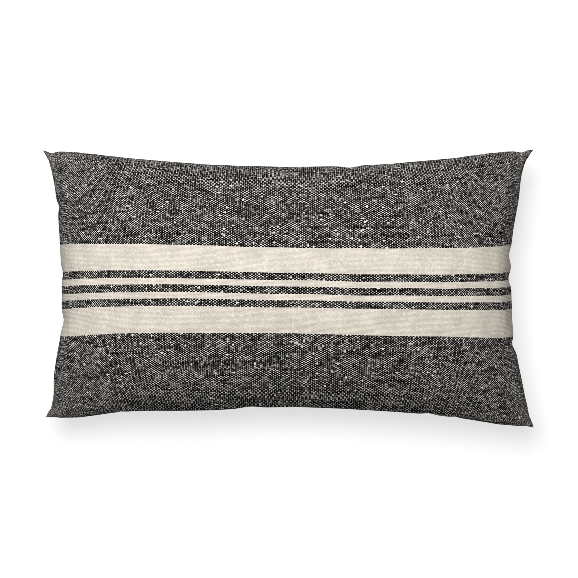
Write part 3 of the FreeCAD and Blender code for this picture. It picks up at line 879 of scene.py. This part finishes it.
# A direction that no yarn or wire here starts along
START_ACROSS = (0.31, 0.17, 0.93)


def add_yarn(name, paths, radius, sides=6):
    """Round yarn or wire along one or more lists of points, with closed ends."""
    points = []
    faces = []
    for path in paths:
        path = np.array(path, dtype=float)
        along = np.gradient(path, axis=0)
        along /= np.linalg.norm(along, axis=1)[:, None]
        across = np.cross(along[0], START_ACROSS)
        first = len(points)
        for place, way in zip(path, along):
            across = across - way * across.dot(way)
            across /= np.linalg.norm(across)
            other = np.cross(way, across)
            for k in range(sides):
                turn = 2 * math.pi * k / sides
                points.append(place + radius * (math.cos(turn) * across + math.sin(turn) * other))
        for ring in range(len(path) - 1):
            for k in range(sides):
                a = first + ring * sides + k
                b = first + ring * sides + (k + 1) % sides
                faces.append((a, b, b + sides, a + sides))
        last = first + (len(path) - 1) * sides
        faces.append(tuple(range(first + sides - 1, first - 1, -1)))
        faces.append(tuple(range(last, last + sides)))
    return add_piece(name, points, faces)


COIL_PITCH = 0.0020
COIL_WIRE = 0.0002
COIL_STEPS = 12


def zip_coil(name, node, phase):
    """One nylon coil, flattened as it is when it is sewn to its tape."""
    low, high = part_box(node)
    middle_y = (low.y + high.y) / 2
    middle_z = (low.z + high.z) / 2
    half_y = (high.y - low.y) / 2 - COIL_WIRE
    half_z = (high.z - low.z) / 2 - COIL_WIRE
    turns = (high.x - low.x - 2 * COIL_WIRE) / COIL_PITCH
    path = []
    for step in range(int(turns * COIL_STEPS) + 1):
        turn = step / COIL_STEPS
        angle = 2 * math.pi * turn + phase
        x = low.x + COIL_WIRE + turn * COIL_PITCH
        path.append((x, middle_y + half_y * math.cos(angle), middle_z + half_z * math.sin(angle)))
    return add_yarn(name, [path], COIL_WIRE)


STITCH_LENGTH = 0.0024
STITCH_PITCH = 0.0031
STITCH_YARN = 0.00018
STITCH_SINK = 0.0002
# Along one stitch, as shares of its length: how far its yarn stands out from the tape
STITCH_RISE = (
    (0.0, -STITCH_SINK), (0.15, STITCH_YARN), (0.5, 1.3 * STITCH_YARN), (0.85, STITCH_YARN),
    (1.0, -STITCH_SINK),
)


def tape_stitches():
    """A row of machine stitches down the middle of each tape."""
    low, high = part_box("zip_tape_stitches")
    paths = []
    for z in (low.z, high.z):
        for k in range(int((high.x - low.x) / STITCH_PITCH)):
            x = low.x + k * STITCH_PITCH
            paths.append([(x + share * STITCH_LENGTH, low.y + rise, z) for share, rise in STITCH_RISE])
    return add_yarn("zip_tape_stitching", paths, STITCH_YARN, sides=5)


def add_pressing(name, parts, edge):
    """A small metal or enamelled piece of flat outlines, each drawn out along one axis, with soft edges.

    A part is (axis, low, high, outline); the outline's points are in the plane of the other two axes.
    """
    points = []
    faces = []
    for axis, low, high, outline in parts:
        first = len(points)
        count = len(outline)
        for level in (low, high):
            for p, q in outline:
                place = [p, q]
                place.insert(axis, level)
                points.append(place)
        faces.append(tuple(range(first, first + count)))
        faces.append(tuple(range(first + 2 * count - 1, first + count - 1, -1)))
        for k in range(count):
            following = (k + 1) % count
            faces.append((first + following, first + k, first + count + k, first + count + following))
    piece = add_piece(name, points, faces)
    shaping = bmesh.new()
    shaping.from_mesh(piece.data)
    bmesh.ops.recalc_face_normals(shaping, faces=shaping.faces)
    shaping.to_mesh(piece.data)
    shaping.free()
    for polygon in piece.data.polygons:
        polygon.use_smooth = False
    soft = piece.modifiers.new("soft_edges", "BEVEL")
    soft.width = edge
    soft.segments = 3
    soft.limit_method = "ANGLE"
    return piece


STOP_WALL = 0.0004


def crimp(low, high):
    """A stop: a strip of metal bent round the coil, open on the side away from the pillow's middle."""
    outline = [
        (low.y, low.z), (high.y, low.z), (high.y, high.z), (low.y, high.z), (low.y, high.z - STOP_WALL),
        (high.y - STOP_WALL, high.z - STOP_WALL), (high.y - STOP_WALL, low.z + STOP_WALL),
        (low.y, low.z + STOP_WALL),
    ]
    return (0, low.x, high.x, outline)


zip_tape_top = zip_tape("zip_tape_above", "zip_tape_upper", 1)
zip_tape_under = zip_tape("zip_tape_below", "zip_tape_lower", -1)
zip_coil_top = zip_coil("zip_coil_above", "zip_teeth_upper", 0.0)
zip_coil_under = zip_coil("zip_coil_below", "zip_teeth_lower", math.pi)
zip_stitching = tape_stitches()
closed_stop = add_pressing("zip_stop_closed_end", [crimp(*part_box("zip_bottom_stop"))], edge=0.00015)
stops_low, stops_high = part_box("zip_top_stops")
STOP_SPLIT = 0.0003
upper_low = Vector((stops_low.x, stops_low.y, seam_z + STOP_SPLIT))
lower_high = Vector((stops_high.x, stops_high.y, seam_z - STOP_SPLIT))
open_stops = add_pressing(
    "zip_stops_slider_end", [crimp(upper_low, stops_high), crimp(stops_low, lower_high)], edge=0.00012,
)

# The slider straddles the coils from behind; its neck passes out through the slit to a foot and a bail
body_low, body_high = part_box("zip_slider")
plate_back = body_high.y
PLATE_THICK = 0.0010
FLANGE_DEPTH = 0.0021
FLANGE_THICK = 0.0008
FLANGE_INSET = 0.985
FLANGE_FOOT = (0.2, 0.85)
FLANGE_EDGE = (0.22, 0.82)
NECK = (0.0055, 0.0080)
NECK_HALF = 0.0005
NECK_SINK = 0.0003
FOOT_HALF = 0.0015
FOOT_THICK = 0.0010
FOOT_BEHIND_BAIL = 0.0034
FOOT_NOSE = 0.7
CORNER_CUT = 0.0008
BAIL = (0.0010, 0.0070)
BAIL_HALF = 0.0011
BAIL_WIRE = 0.0010
BAIL_SINK = 0.0005
foot_y = body_low.y + FOOT_BEHIND_BAIL
half_body = (body_high.z - body_low.z) / 2
slider_length = body_high.x - body_low.x


def slider_x(share):
    """A place along the slider, from 0 at its left end to 1 at its right end."""
    return body_low.x + share * slider_length


plate_half = [(0.0, 0.72), (0.18, 0.93), (0.80, 1.0), (1.0, 0.76)]
plate_outline = [(slider_x(s), seam_z - h * half_body) for s, h in plate_half]
plate_outline += [(slider_x(s), seam_z + h * half_body) for s, h in reversed(plate_half)]
slider_parts = [(1, plate_back - PLATE_THICK, plate_back, plate_outline)]
for side in (1, -1):
    inner = seam_z + side * (half_body - FLANGE_THICK)
    outer = seam_z + side * half_body * FLANGE_INSET
    flange = [(slider_x(share), inner) for share in FLANGE_FOOT]
    flange += [(slider_x(share), outer) for share in reversed(FLANGE_EDGE)]
    slider_parts.append((1, plate_back - FLANGE_DEPTH, plate_back - PLATE_THICK / 2, flange))
neck_x = (body_low.x + NECK[0], body_low.x + NECK[1])
neck_outline = [
    (neck_x[0], seam_z - NECK_HALF), (neck_x[1], seam_z - NECK_HALF),
    (neck_x[1], seam_z + NECK_HALF), (neck_x[0], seam_z + NECK_HALF),
]
slider_parts.append((1, foot_y + NECK_SINK, plate_back - PLATE_THICK / 2, neck_outline))
bail_x = (body_low.x + BAIL[0], body_low.x + BAIL[1])
foot_outline = [
    (bail_x[0], seam_z - FOOT_HALF * FOOT_NOSE), (bail_x[0] + CORNER_CUT, seam_z - FOOT_HALF),
    (neck_x[1], seam_z - FOOT_HALF), (neck_x[1], seam_z + FOOT_HALF),
    (bail_x[0] + CORNER_CUT, seam_z + FOOT_HALF), (bail_x[0], seam_z + FOOT_HALF * FOOT_NOSE),
]
slider_parts.append((1, foot_y, foot_y + FOOT_THICK, foot_outline))
bail_y = body_low.y
bail_root = foot_y + BAIL_SINK
bail_outline = [
    (bail_x[0], bail_root), (bail_x[0], bail_y + CORNER_CUT), (bail_x[0] + CORNER_CUT, bail_y),
    (bail_x[1] - CORNER_CUT, bail_y), (bail_x[1], bail_y + CORNER_CUT), (bail_x[1], bail_root),
    (bail_x[1] - BAIL_WIRE, bail_root), (bail_x[1] - BAIL_WIRE, bail_y + BAIL_WIRE),
    (bail_x[0] + BAIL_WIRE, bail_y + BAIL_WIRE), (bail_x[0] + BAIL_WIRE, bail_root),
]
slider_parts.append((2, seam_z - BAIL_HALF, seam_z + BAIL_HALF, bail_outline))
slider_piece = add_pressing("zip_slider_body", slider_parts, edge=0.00018)

# The pull: a flat tab with a round end and grip ribs, forked round the pin that turns in the bail
tab_low, tab_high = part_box("zip_pull")
tab_half = (tab_high.z - tab_low.z) / 2
tab_y = (tab_low.y + tab_high.y) / 2
TAB_HALF_THICK = 0.0005
FORK_DEPTH = 0.0055
FORK_HALF = 0.0019
FORK_TAPER = 0.9
ROUND_STEPS = 8
PIN_FROM_HEEL = 0.0011
PIN_SHARE = 0.92
PIN_SIDES = 12
RIBS = 4
RIB_START = 0.0032
RIB_PITCH = 0.0016
RIB_WIDTH = 0.0007
RIB_SHARE = 0.6
tab_outline = []
for k in range(ROUND_STEPS + 1):
    angle = math.pi / 2 + math.pi * k / ROUND_STEPS
    tab_outline.append((
        tab_low.x + tab_half * (1 + math.cos(angle)), seam_z + tab_half * math.sin(angle),
    ))
tab_outline += [
    (tab_high.x, seam_z - tab_half), (tab_high.x, seam_z - FORK_HALF),
    (tab_high.x - FORK_DEPTH, seam_z - FORK_HALF * FORK_TAPER),
    (tab_high.x - FORK_DEPTH, seam_z + FORK_HALF * FORK_TAPER),
    (tab_high.x, seam_z + FORK_HALF), (tab_high.x, seam_z + tab_half),
]
pull_parts = [(1, tab_y - TAB_HALF_THICK, tab_y + TAB_HALF_THICK, tab_outline)]
pin_x = tab_high.x - PIN_FROM_HEEL
pin_radius = (tab_high.y - tab_low.y) / 2
pin_angles = [2 * math.pi * k / PIN_SIDES for k in range(PIN_SIDES)]
pin_outline = [(pin_x + pin_radius * math.cos(a), tab_y + pin_radius * math.sin(a)) for a in pin_angles]
pull_parts.append((2, seam_z - tab_half * PIN_SHARE, seam_z + tab_half * PIN_SHARE, pin_outline))
rib_half = tab_half * RIB_SHARE
for rib in range(RIBS):
    rib_x = tab_low.x + RIB_START + RIB_PITCH * rib
    rib_outline = [
        (rib_x, seam_z - rib_half), (rib_x + RIB_WIDTH, seam_z - rib_half),
        (rib_x + RIB_WIDTH, seam_z + rib_half), (rib_x, seam_z + rib_half),
    ]
    pull_parts.append((1, tab_low.y, tab_high.y, rib_outline))
pull_piece = add_pressing("zip_pull_tab", pull_parts, edge=0.00018)

for piece, node, body, finish in (
    (zip_tape_top, "zip_tape_upper", "root", "zip_tape"),
    (zip_tape_under, "zip_tape_lower", "root", "zip_tape"),
    (zip_coil_top, "zip_teeth_upper", "root", "zip_coil"),
    (zip_coil_under, "zip_teeth_lower", "root", "zip_coil"),
    (zip_stitching, "zip_tape_stitches", "root", "sewing_thread"),
    (closed_stop, "zip_bottom_stop", "root", "zip_metal"),
    (open_stops, "zip_top_stops", "root", "zip_metal"),
    (slider_piece, "zip_slider", "zip_slider", "zip_metal"),
    (pull_piece, "zip_pull", "zip_pull", "zip_metal"),
):
    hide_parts(node)
    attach(piece, body)


def woven_finish(name, lit_top_colour, shade_and_stain_colour, *, ends, picks, roughness):
    """A close plain weave of one yarn, with painted light and shade: paler where a yarn stands up and darker
    between.
    """
    finish = bpy.data.materials.new(name)
    finish.use_nodes = True
    tree = finish.node_tree
    shader = tree.nodes["Principled BSDF"]
    shader.inputs["Roughness"].default_value = roughness
    shader.inputs["Specular IOR Level"].default_value = 0.2
    uv = tree.nodes.new("ShaderNodeUVMap")
    uv.uv_map = "cloth"
    weave = add_group(tree, weave_group, Cloth=uv.outputs[0], End_Spacing=ends, Pick_Spacing=picks,
                      End_Width=0.55, Pick_Width=0.55, Wander=0.25, Unevenness=0.25, Slubs=0.3)
    stain = add_range(tree, add_noise(tree, uv.outputs[0], 60.0, 4.0, 0.6), 0.3, 0.7, 0.0, 0.35)
    # Painted highlight and shade: the colour follows the weave's height, paler on the yarns' tops and darker
    # between them; the stains above use the same dark colour
    painted_relief_shade = add_blend(tree, add_range(tree, weave.outputs["Height"], 0.0, 0.8), shade_and_stain_colour, lit_top_colour)
    tree.links.new(add_blend(tree, stain, painted_relief_shade, shade_and_stain_colour), shader.inputs["Base Color"])
    bump = tree.nodes.new("ShaderNodeBump")
    bump.inputs["Strength"].default_value = 0.5
    bump.inputs["Distance"].default_value = 0.0002
    tree.links.new(weave.outputs["Height"], bump.inputs["Height"])
    tree.links.new(bump.outputs[0], shader.inputs["Normal"])
    return finish


def fibre_twist():
    """The plies and stray fibres of a yarn, from a place in metres: a height, and a tone that follows it for
    painted shade between the plies.
    """
    group, given, made = new_group(
        "fibre_twist",
        [("Place", "NodeSocketVector", None), ("Plies", "NodeSocketFloat", 2600.0)],
        [("Height", "NodeSocketFloat"), ("Tone", "NodeSocketFloat")],
    )
    split = group.nodes.new("ShaderNodeSeparateXYZ")
    group.links.new(given.outputs["Place"], split.inputs[0])
    x, y, z = split.outputs[0], split.outputs[1], split.outputs[2]
    slant = add_math(group, "ADD", add_math(group, "ADD", x, y), z)
    ply = add_math(group, "SINE", add_math(group, "MULTIPLY", slant, given.outputs["Plies"]))
    fuzz = add_noise(group, given.outputs["Place"], 2400.0, 3.0, 0.6)
    height = add_math(group, "ADD", add_math(group, "MULTIPLY", ply, 0.35), fuzz)
    group.links.new(height, made.inputs["Height"])
    group.links.new(add_range(group, height, 0.1, 0.9), made.inputs["Tone"])
    return group


twist_group = fibre_twist()


def yarn_finish(name, light, dark, *, plies, roughness):
    """Twisted thread or drawn nylon, with painted shade: paler on its plies and darker between them."""
    finish = bpy.data.materials.new(name)
    finish.use_nodes = True
    tree = finish.node_tree
    shader = tree.nodes["Principled BSDF"]
    shader.inputs["Roughness"].default_value = roughness
    place = tree.nodes.new("ShaderNodeTexCoord")
    twist = add_group(tree, twist_group, Place=place.outputs["Object"], Plies=plies)
    # Painted shade: the yarn's colour follows the height of its plies and fibres
    tree.links.new(add_blend(tree, twist.outputs["Tone"], dark, light), shader.inputs["Base Color"])
    bump = tree.nodes.new("ShaderNodeBump")
    bump.inputs["Strength"].default_value = 0.4
    bump.inputs["Distance"].default_value = 0.00005
    tree.links.new(twist.outputs["Height"], bump.inputs["Height"])
    tree.links.new(bump.outputs[0], shader.inputs["Normal"])
    return finish


def enamelled_zinc():
    """Cast zinc under black enamel, rubbed through in small scuffs."""
    finish = bpy.data.materials.new("enamelled_zinc")
    finish.use_nodes = True
    tree = finish.node_tree
    shader = tree.nodes["Principled BSDF"]
    shader.inputs["Specular IOR Level"].default_value = 0.6
    place = tree.nodes.new("ShaderNodeTexCoord")
    scuff = add_range(tree, add_noise(tree, place.outputs["Object"], 900.0, 5.0, 0.7), 0.60, 0.66)
    grain = add_noise(tree, place.outputs["Object"], 3500.0, 3.0, 0.5)
    enamel = add_blend(tree, grain, (0.012, 0.012, 0.013, 1), (0.030, 0.029, 0.028, 1))
    tree.links.new(add_blend(tree, scuff, enamel, (0.36, 0.35, 0.34, 1)), shader.inputs["Base Color"])
    tree.links.new(scuff, shader.inputs["Metallic"])
    tree.links.new(add_range(tree, grain, 0.3, 0.7, 0.28, 0.45), shader.inputs["Roughness"])
    bump = tree.nodes.new("ShaderNodeBump")
    bump.inputs["Strength"].default_value = 0.2
    bump.inputs["Distance"].default_value = 0.00004
    tree.links.new(grain, bump.inputs["Height"])
    tree.links.new(bump.outputs[0], shader.inputs["Normal"])
    return finish


tape_finish = woven_finish(
    "zip_tape_cloth", (0.035, 0.034, 0.034, 1), (0.010, 0.010, 0.010, 1),
    ends=0.0009, picks=0.0007, roughness=0.8,
)
nylon_finish = yarn_finish(
    "coil_nylon", (0.050, 0.049, 0.050, 1), (0.018, 0.018, 0.019, 1), plies=700.0, roughness=0.35,
)
black_thread = yarn_finish(
    "black_polyester_thread", (0.045, 0.043, 0.042, 1), (0.012, 0.011, 0.011, 1),
    plies=2600.0, roughness=0.6,
)
zinc_finish = enamelled_zinc()
for piece, finish in (
    (zip_tape_top, tape_finish), (zip_tape_under, tape_finish), (zip_coil_top, nylon_finish),
    (zip_coil_under, nylon_finish), (zip_stitching, black_thread), (closed_stop, zinc_finish),
    (open_stops, zinc_finish), (slider_piece, zinc_finish), (pull_piece, zinc_finish),
):
    piece.data.materials.append(finish)

# ---------------------------------------------------------------------------------------------------
# The cover's seam and its overlocked allowances
# A lockstitch joins the two turned-in allowances 1 mm inside the seam line, and a looped overlock
# binds their raw edges together, because so open a weave frays. Both stop at the zip.
# ---------------------------------------------------------------------------------------------------
def seam_walk(places, depth, pitch, gap):
    """Even steps along a case's seam at a depth inside it, from one end of its opening to the other.

    Returns the places, in plan, and the way in at each.
    """
    line = stepped_in(places, depth)
    step = line - places[rim_rows, rim_columns][:, :2]
    in_gap = (np.abs(line[:, 0]) < gap) & (rim_rows == 0)
    start = int(np.nonzero(in_gap)[0][-1]) + 1
    order = [(start + k) % len(rim) for k in range(len(rim) - int(in_gap.sum()))]
    line = line[order]
    way = step[order] / np.linalg.norm(step[order], axis=1)[:, None]
    travelled = np.concatenate([[0], np.cumsum(np.linalg.norm(np.diff(line, axis=0), axis=1))])
    at = np.arange(0, travelled[-1], pitch)
    even = [np.interp(at, travelled, column) for column in (*line.T, *way.T)]
    return np.stack(even[:2], axis=1), np.stack(even[2:], axis=1)


LOCKSTITCH = 0.0028
SEAM_YARN = 0.0002
SEAM_DEPTH = 0.0010
IN_HOLE = 0.0002
SHOULDER = 0.85
ZIP_GAP = 0.162


def lockstitch(name, places, gap, cloth):
    """The needle thread above the allowances and the bobbin thread below, which meet in each hole."""
    line = seam_walk(places, SEAM_DEPTH, LOCKSTITCH / 4, gap)[0]
    top = ALLOWANCE_GAP + cloth + SEAM_YARN
    heights = np.array([IN_HOLE, SHOULDER * top, top, SHOULDER * top])[np.arange(len(line)) % 4]
    paths = [np.column_stack([line, seam_z + side * heights]) for side in (1, -1)]
    return add_yarn(name, paths, SEAM_YARN, sides=5)


OVERLOCK_PITCH = 0.0030
OVERLOCK_STEPS = 8
OVERLOCK_DEPTH = 0.0073
OVERLOCK_HALF_WIDTH = 0.0022
OVERLOCK_HALF_HEIGHT = 0.0017
OVERLOCK_YARN = 0.00016


def overlock(name, places, gap):
    """Loops of thread round the raw edges of both allowances."""
    line, way = seam_walk(places, OVERLOCK_DEPTH, OVERLOCK_PITCH / OVERLOCK_STEPS, gap)
    angle = np.arange(len(line)) * 2 * math.pi / OVERLOCK_STEPS
    plan = line + way * (OVERLOCK_HALF_WIDTH * np.cos(angle))[:, None]
    path = np.column_stack([plan, seam_z + OVERLOCK_HALF_HEIGHT * np.sin(angle)])
    return add_yarn(name, [path], OVERLOCK_YARN, sides=5)


cover_seam = lockstitch("cover_lockstitch", sewn[1], ZIP_GAP, COVER_CLOTH)
cover_edging = overlock("cover_overlock", sewn[1], ZIP_GAP)
for piece, node in ((cover_seam, "cover_seam_thread"), (cover_edging, "cover_overlock_thread")):
    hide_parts(node)
    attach(piece, "root")
    piece.data.materials.append(black_thread)

# ---------------------------------------------------------------------------------------------------
# The care label
# A blank white satin label, folded double and caught in the cover's left side seam, inside.
# ---------------------------------------------------------------------------------------------------
LABEL_HALF = 0.015
LABEL_START = 0.0012
LABEL_REACH = 0.0235
LABEL_THICK = 0.00022
LABEL_FOLD = 0.0006
LABEL_DROOP = 0.3


def folded_label(name, places, end, gaps):
    """A strip folded double against the wall at one end; gaps are how far its two layers stand off."""
    v_lines = [r for r in range(len(lines_v)) if abs(lines_v[r]) < LABEL_HALF]
    reach = CUT_LENGTH / 2 - end * lines_u
    u_lines = [c for c in range(len(lines_u)) if LABEL_START < reach[c] < LABEL_REACH]
    u_lines = u_lines[::-1] if end == 1 else u_lines
    wall = places[np.ix_(v_lines, u_lines)]
    layers = [wall + np.array([end * gap, 0.0, LABEL_DROOP * abs(gap)]) for gap in gaps]
    fold = (layers[0][:, -1:] + layers[1][:, -1:]) / 2 + np.array([0.0, 0.0, LABEL_FOLD])
    strip = np.concatenate([layers[0], fold, layers[1][:, ::-1]], axis=1)
    steps = np.linalg.norm(np.diff(strip, axis=1), axis=2).mean(axis=0)
    travelled = np.concatenate([[0], np.cumsum(steps)])
    width = float(np.linalg.norm(np.diff(strip, axis=0), axis=2).sum(axis=0).mean())
    flat = [(lines_v[r], t) for r in v_lines for t in travelled]
    index = np.arange(len(flat)).reshape(len(v_lines), -1)
    label = add_piece(name, strip.reshape(-1, 3), grid_quads(index, 1), flat)
    thicken(label, LABEL_THICK, offset=0.0)
    return label, (width, float(travelled[-1]))


satin_finish = woven_finish(
    "label_satin", (0.80, 0.80, 0.79, 1), (0.66, 0.66, 0.66, 1), ends=0.0004, picks=0.0003, roughness=0.35,
)
care_label, care_flat = folded_label("care_label_strip", sewn[1], -1, (-0.0016, -0.0024))
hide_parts("care_label")
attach(care_label, "root")
care_label.data.materials.append(satin_finish)

# ---------------------------------------------------------------------------------------------------
# The insert's filling
# One mass of loose white polyester fibre, lumpy where it was pushed in by hand.
# ---------------------------------------------------------------------------------------------------
middle = np.array([0.0, 0.0, seam_z])
in_corner = (np.abs(flat_u) / (CUT_LENGTH / 2)) ** 4 * (np.abs(flat_v) / (CUT_WIDTH / 2)) ** 4


def drawn_in(face, share, corner):
    """The stuffed cover's shape drawn in towards its middle, and further at its corners."""
    keep = np.array(share) - in_corner[:, :, None] * np.array([corner[0], corner[1], 0.0])
    return middle + (stuffed[face] - middle) * keep


FILL_SHARE = (0.890, 0.835, 0.955)
FILL_CORNER = (0.06, 0.10)
LUMP = 0.030
LUMPS_START = 0.02
WELD = 0.00002
fill_points = []
fill_faces = []
for face in (1, -1):
    places = drawn_in(face, FILL_SHARE, FILL_CORNER)
    lumps = 0.5 + 0.5 * soft_noise(face, scale=24.0, seed=21.5)
    lumps += 0.25 * soft_noise(face, scale=85.0, seed=33.1)
    lumps = np.clip(lumps, 0, 1) * ease(from_seam, 0.0, LUMPS_START)
    places = middle + (places - middle) * (1 - LUMP * lumps)[:, :, None]
    index = np.arange(places.shape[0] * places.shape[1]).reshape(places.shape[:2]) + len(fill_points)
    fill_points += places.reshape(-1, 3).tolist()
    fill_faces += grid_quads(index, face)
fibre_fill = add_piece("polyester_filling", fill_points, fill_faces)
welding = bmesh.new()
welding.from_mesh(fibre_fill.data)
bmesh.ops.remove_doubles(welding, verts=welding.verts, dist=WELD)
welding.to_mesh(fibre_fill.data)
welding.free()
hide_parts("insert_fill")
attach(fibre_fill, "root")


def fibre_finish():
    """Crimped white fibre: soft streaks over slow lumps, with painted shade where the streaks of its bump
    are low.
    """
    finish = bpy.data.materials.new("polyester_fibre")
    finish.use_nodes = True
    tree = finish.node_tree
    shader = tree.nodes["Principled BSDF"]
    shader.inputs["Roughness"].default_value = 0.95
    shader.inputs["Sheen Weight"].default_value = 0.3
    place = tree.nodes.new("ShaderNodeTexCoord")
    streak = add_noise(tree, place.outputs["Object"], 650.0, 6.0, 0.75)
    cloud = add_noise(tree, place.outputs["Object"], 45.0, 3.0, 0.5)
    # Painted shade: the fibre is darker where its streak bump is low; the slow cloud varies its tone at
    # random
    tone = add_math(tree, "MULTIPLY", streak, cloud)
    painted_shade_and_tone = add_blend(tree, add_range(tree, tone, 0.10, 0.40), (0.70, 0.70, 0.69, 1), (0.88, 0.88, 0.87, 1))
    tree.links.new(painted_shade_and_tone, shader.inputs["Base Color"])
    bump = tree.nodes.new("ShaderNodeBump")
    bump.inputs["Strength"].default_value = 0.8
    bump.inputs["Distance"].default_value = 0.001
    tree.links.new(streak, bump.inputs["Height"])
    tree.links.new(bump.outputs[0], shader.inputs["Normal"])
    return finish


fibre_fill.data.materials.append(fibre_finish())

# ---------------------------------------------------------------------------------------------------
# The insert's case
# Two panels of close white ticking, smaller than the cover and blunter at the corners, lockstitched
# all round but for a hand's width, which is closed by hand; its blank label lies outside.
# ---------------------------------------------------------------------------------------------------
CASE_SHARE = (0.925, 0.885, 0.968)
CASE_CORNER = (0.05, 0.09)
TICKING = 0.0004
HAND_GAP = 0.062
case = {face: drawn_in(face, CASE_SHARE, CASE_CORNER) for face in (1, -1)}
no_zip = np.zeros(len(rim))
insert_front = sewn_panel("insert_front", case[1], 1, no_zip, TICKING)
insert_back = sewn_panel("insert_back", case[-1], -1, no_zip, TICKING)
ticking_finish = woven_finish(
    "white_ticking", (0.82, 0.81, 0.78, 1), (0.62, 0.61, 0.58, 1), ends=0.0008, picks=0.0007, roughness=0.85,
)
for panel, node in ((insert_front, "insert_front_panel"), (insert_back, "insert_back_panel")):
    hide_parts(node)
    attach(panel, "root")
    panel.data.materials.append(ticking_finish)

white_thread = yarn_finish(
    "white_cotton_thread", (0.86, 0.85, 0.82, 1), (0.60, 0.59, 0.56, 1), plies=2600.0, roughness=0.7,
)
insert_seam = lockstitch("insert_lockstitch", case[1], HAND_GAP, TICKING)
HAND_PITCH = 0.006
HAND_YARN = 0.0003
HAND_SLANT = 0.0008
HAND_REACH = 0.0016
hand = random.Random(11)
hand_low, hand_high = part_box("insert_closing_stitches")
hand_paths = []
for k in range(round((hand_high.x - hand_low.x) / HAND_PITCH) + 1):
    x = hand_low.x + HAND_YARN + k * HAND_PITCH
    y = float(np.interp(x, case[1][0, :, 0], case[1][0, :, 1]))
    slant = HAND_SLANT * (hand.random() - 0.3)
    reach = HAND_REACH * (0.85 + 0.3 * hand.random())
    hand_paths.append([
        (x - slant, y + 0.0012, seam_z + reach), (x - 0.6 * slant, y - 0.0001, seam_z + 0.8 * reach),
        (x, y - 0.0005, seam_z), (x + 0.6 * slant, y - 0.0001, seam_z - 0.8 * reach),
        (x + slant, y + 0.0012, seam_z - reach),
    ])
insert_closing = add_yarn("insert_hand_stitches", hand_paths, HAND_YARN)
for piece, node in ((insert_seam, "insert_seam_thread"), (insert_closing, "insert_closing_stitches")):
    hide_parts(node)
    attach(piece, "root")
    piece.data.materials.append(white_thread)

insert_label, insert_flat = folded_label("insert_label_strip", case[1], 1, (0.0008, 0.0016))
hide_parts("insert_label")
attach(insert_label, "root")
insert_label.data.materials.append(satin_finish)
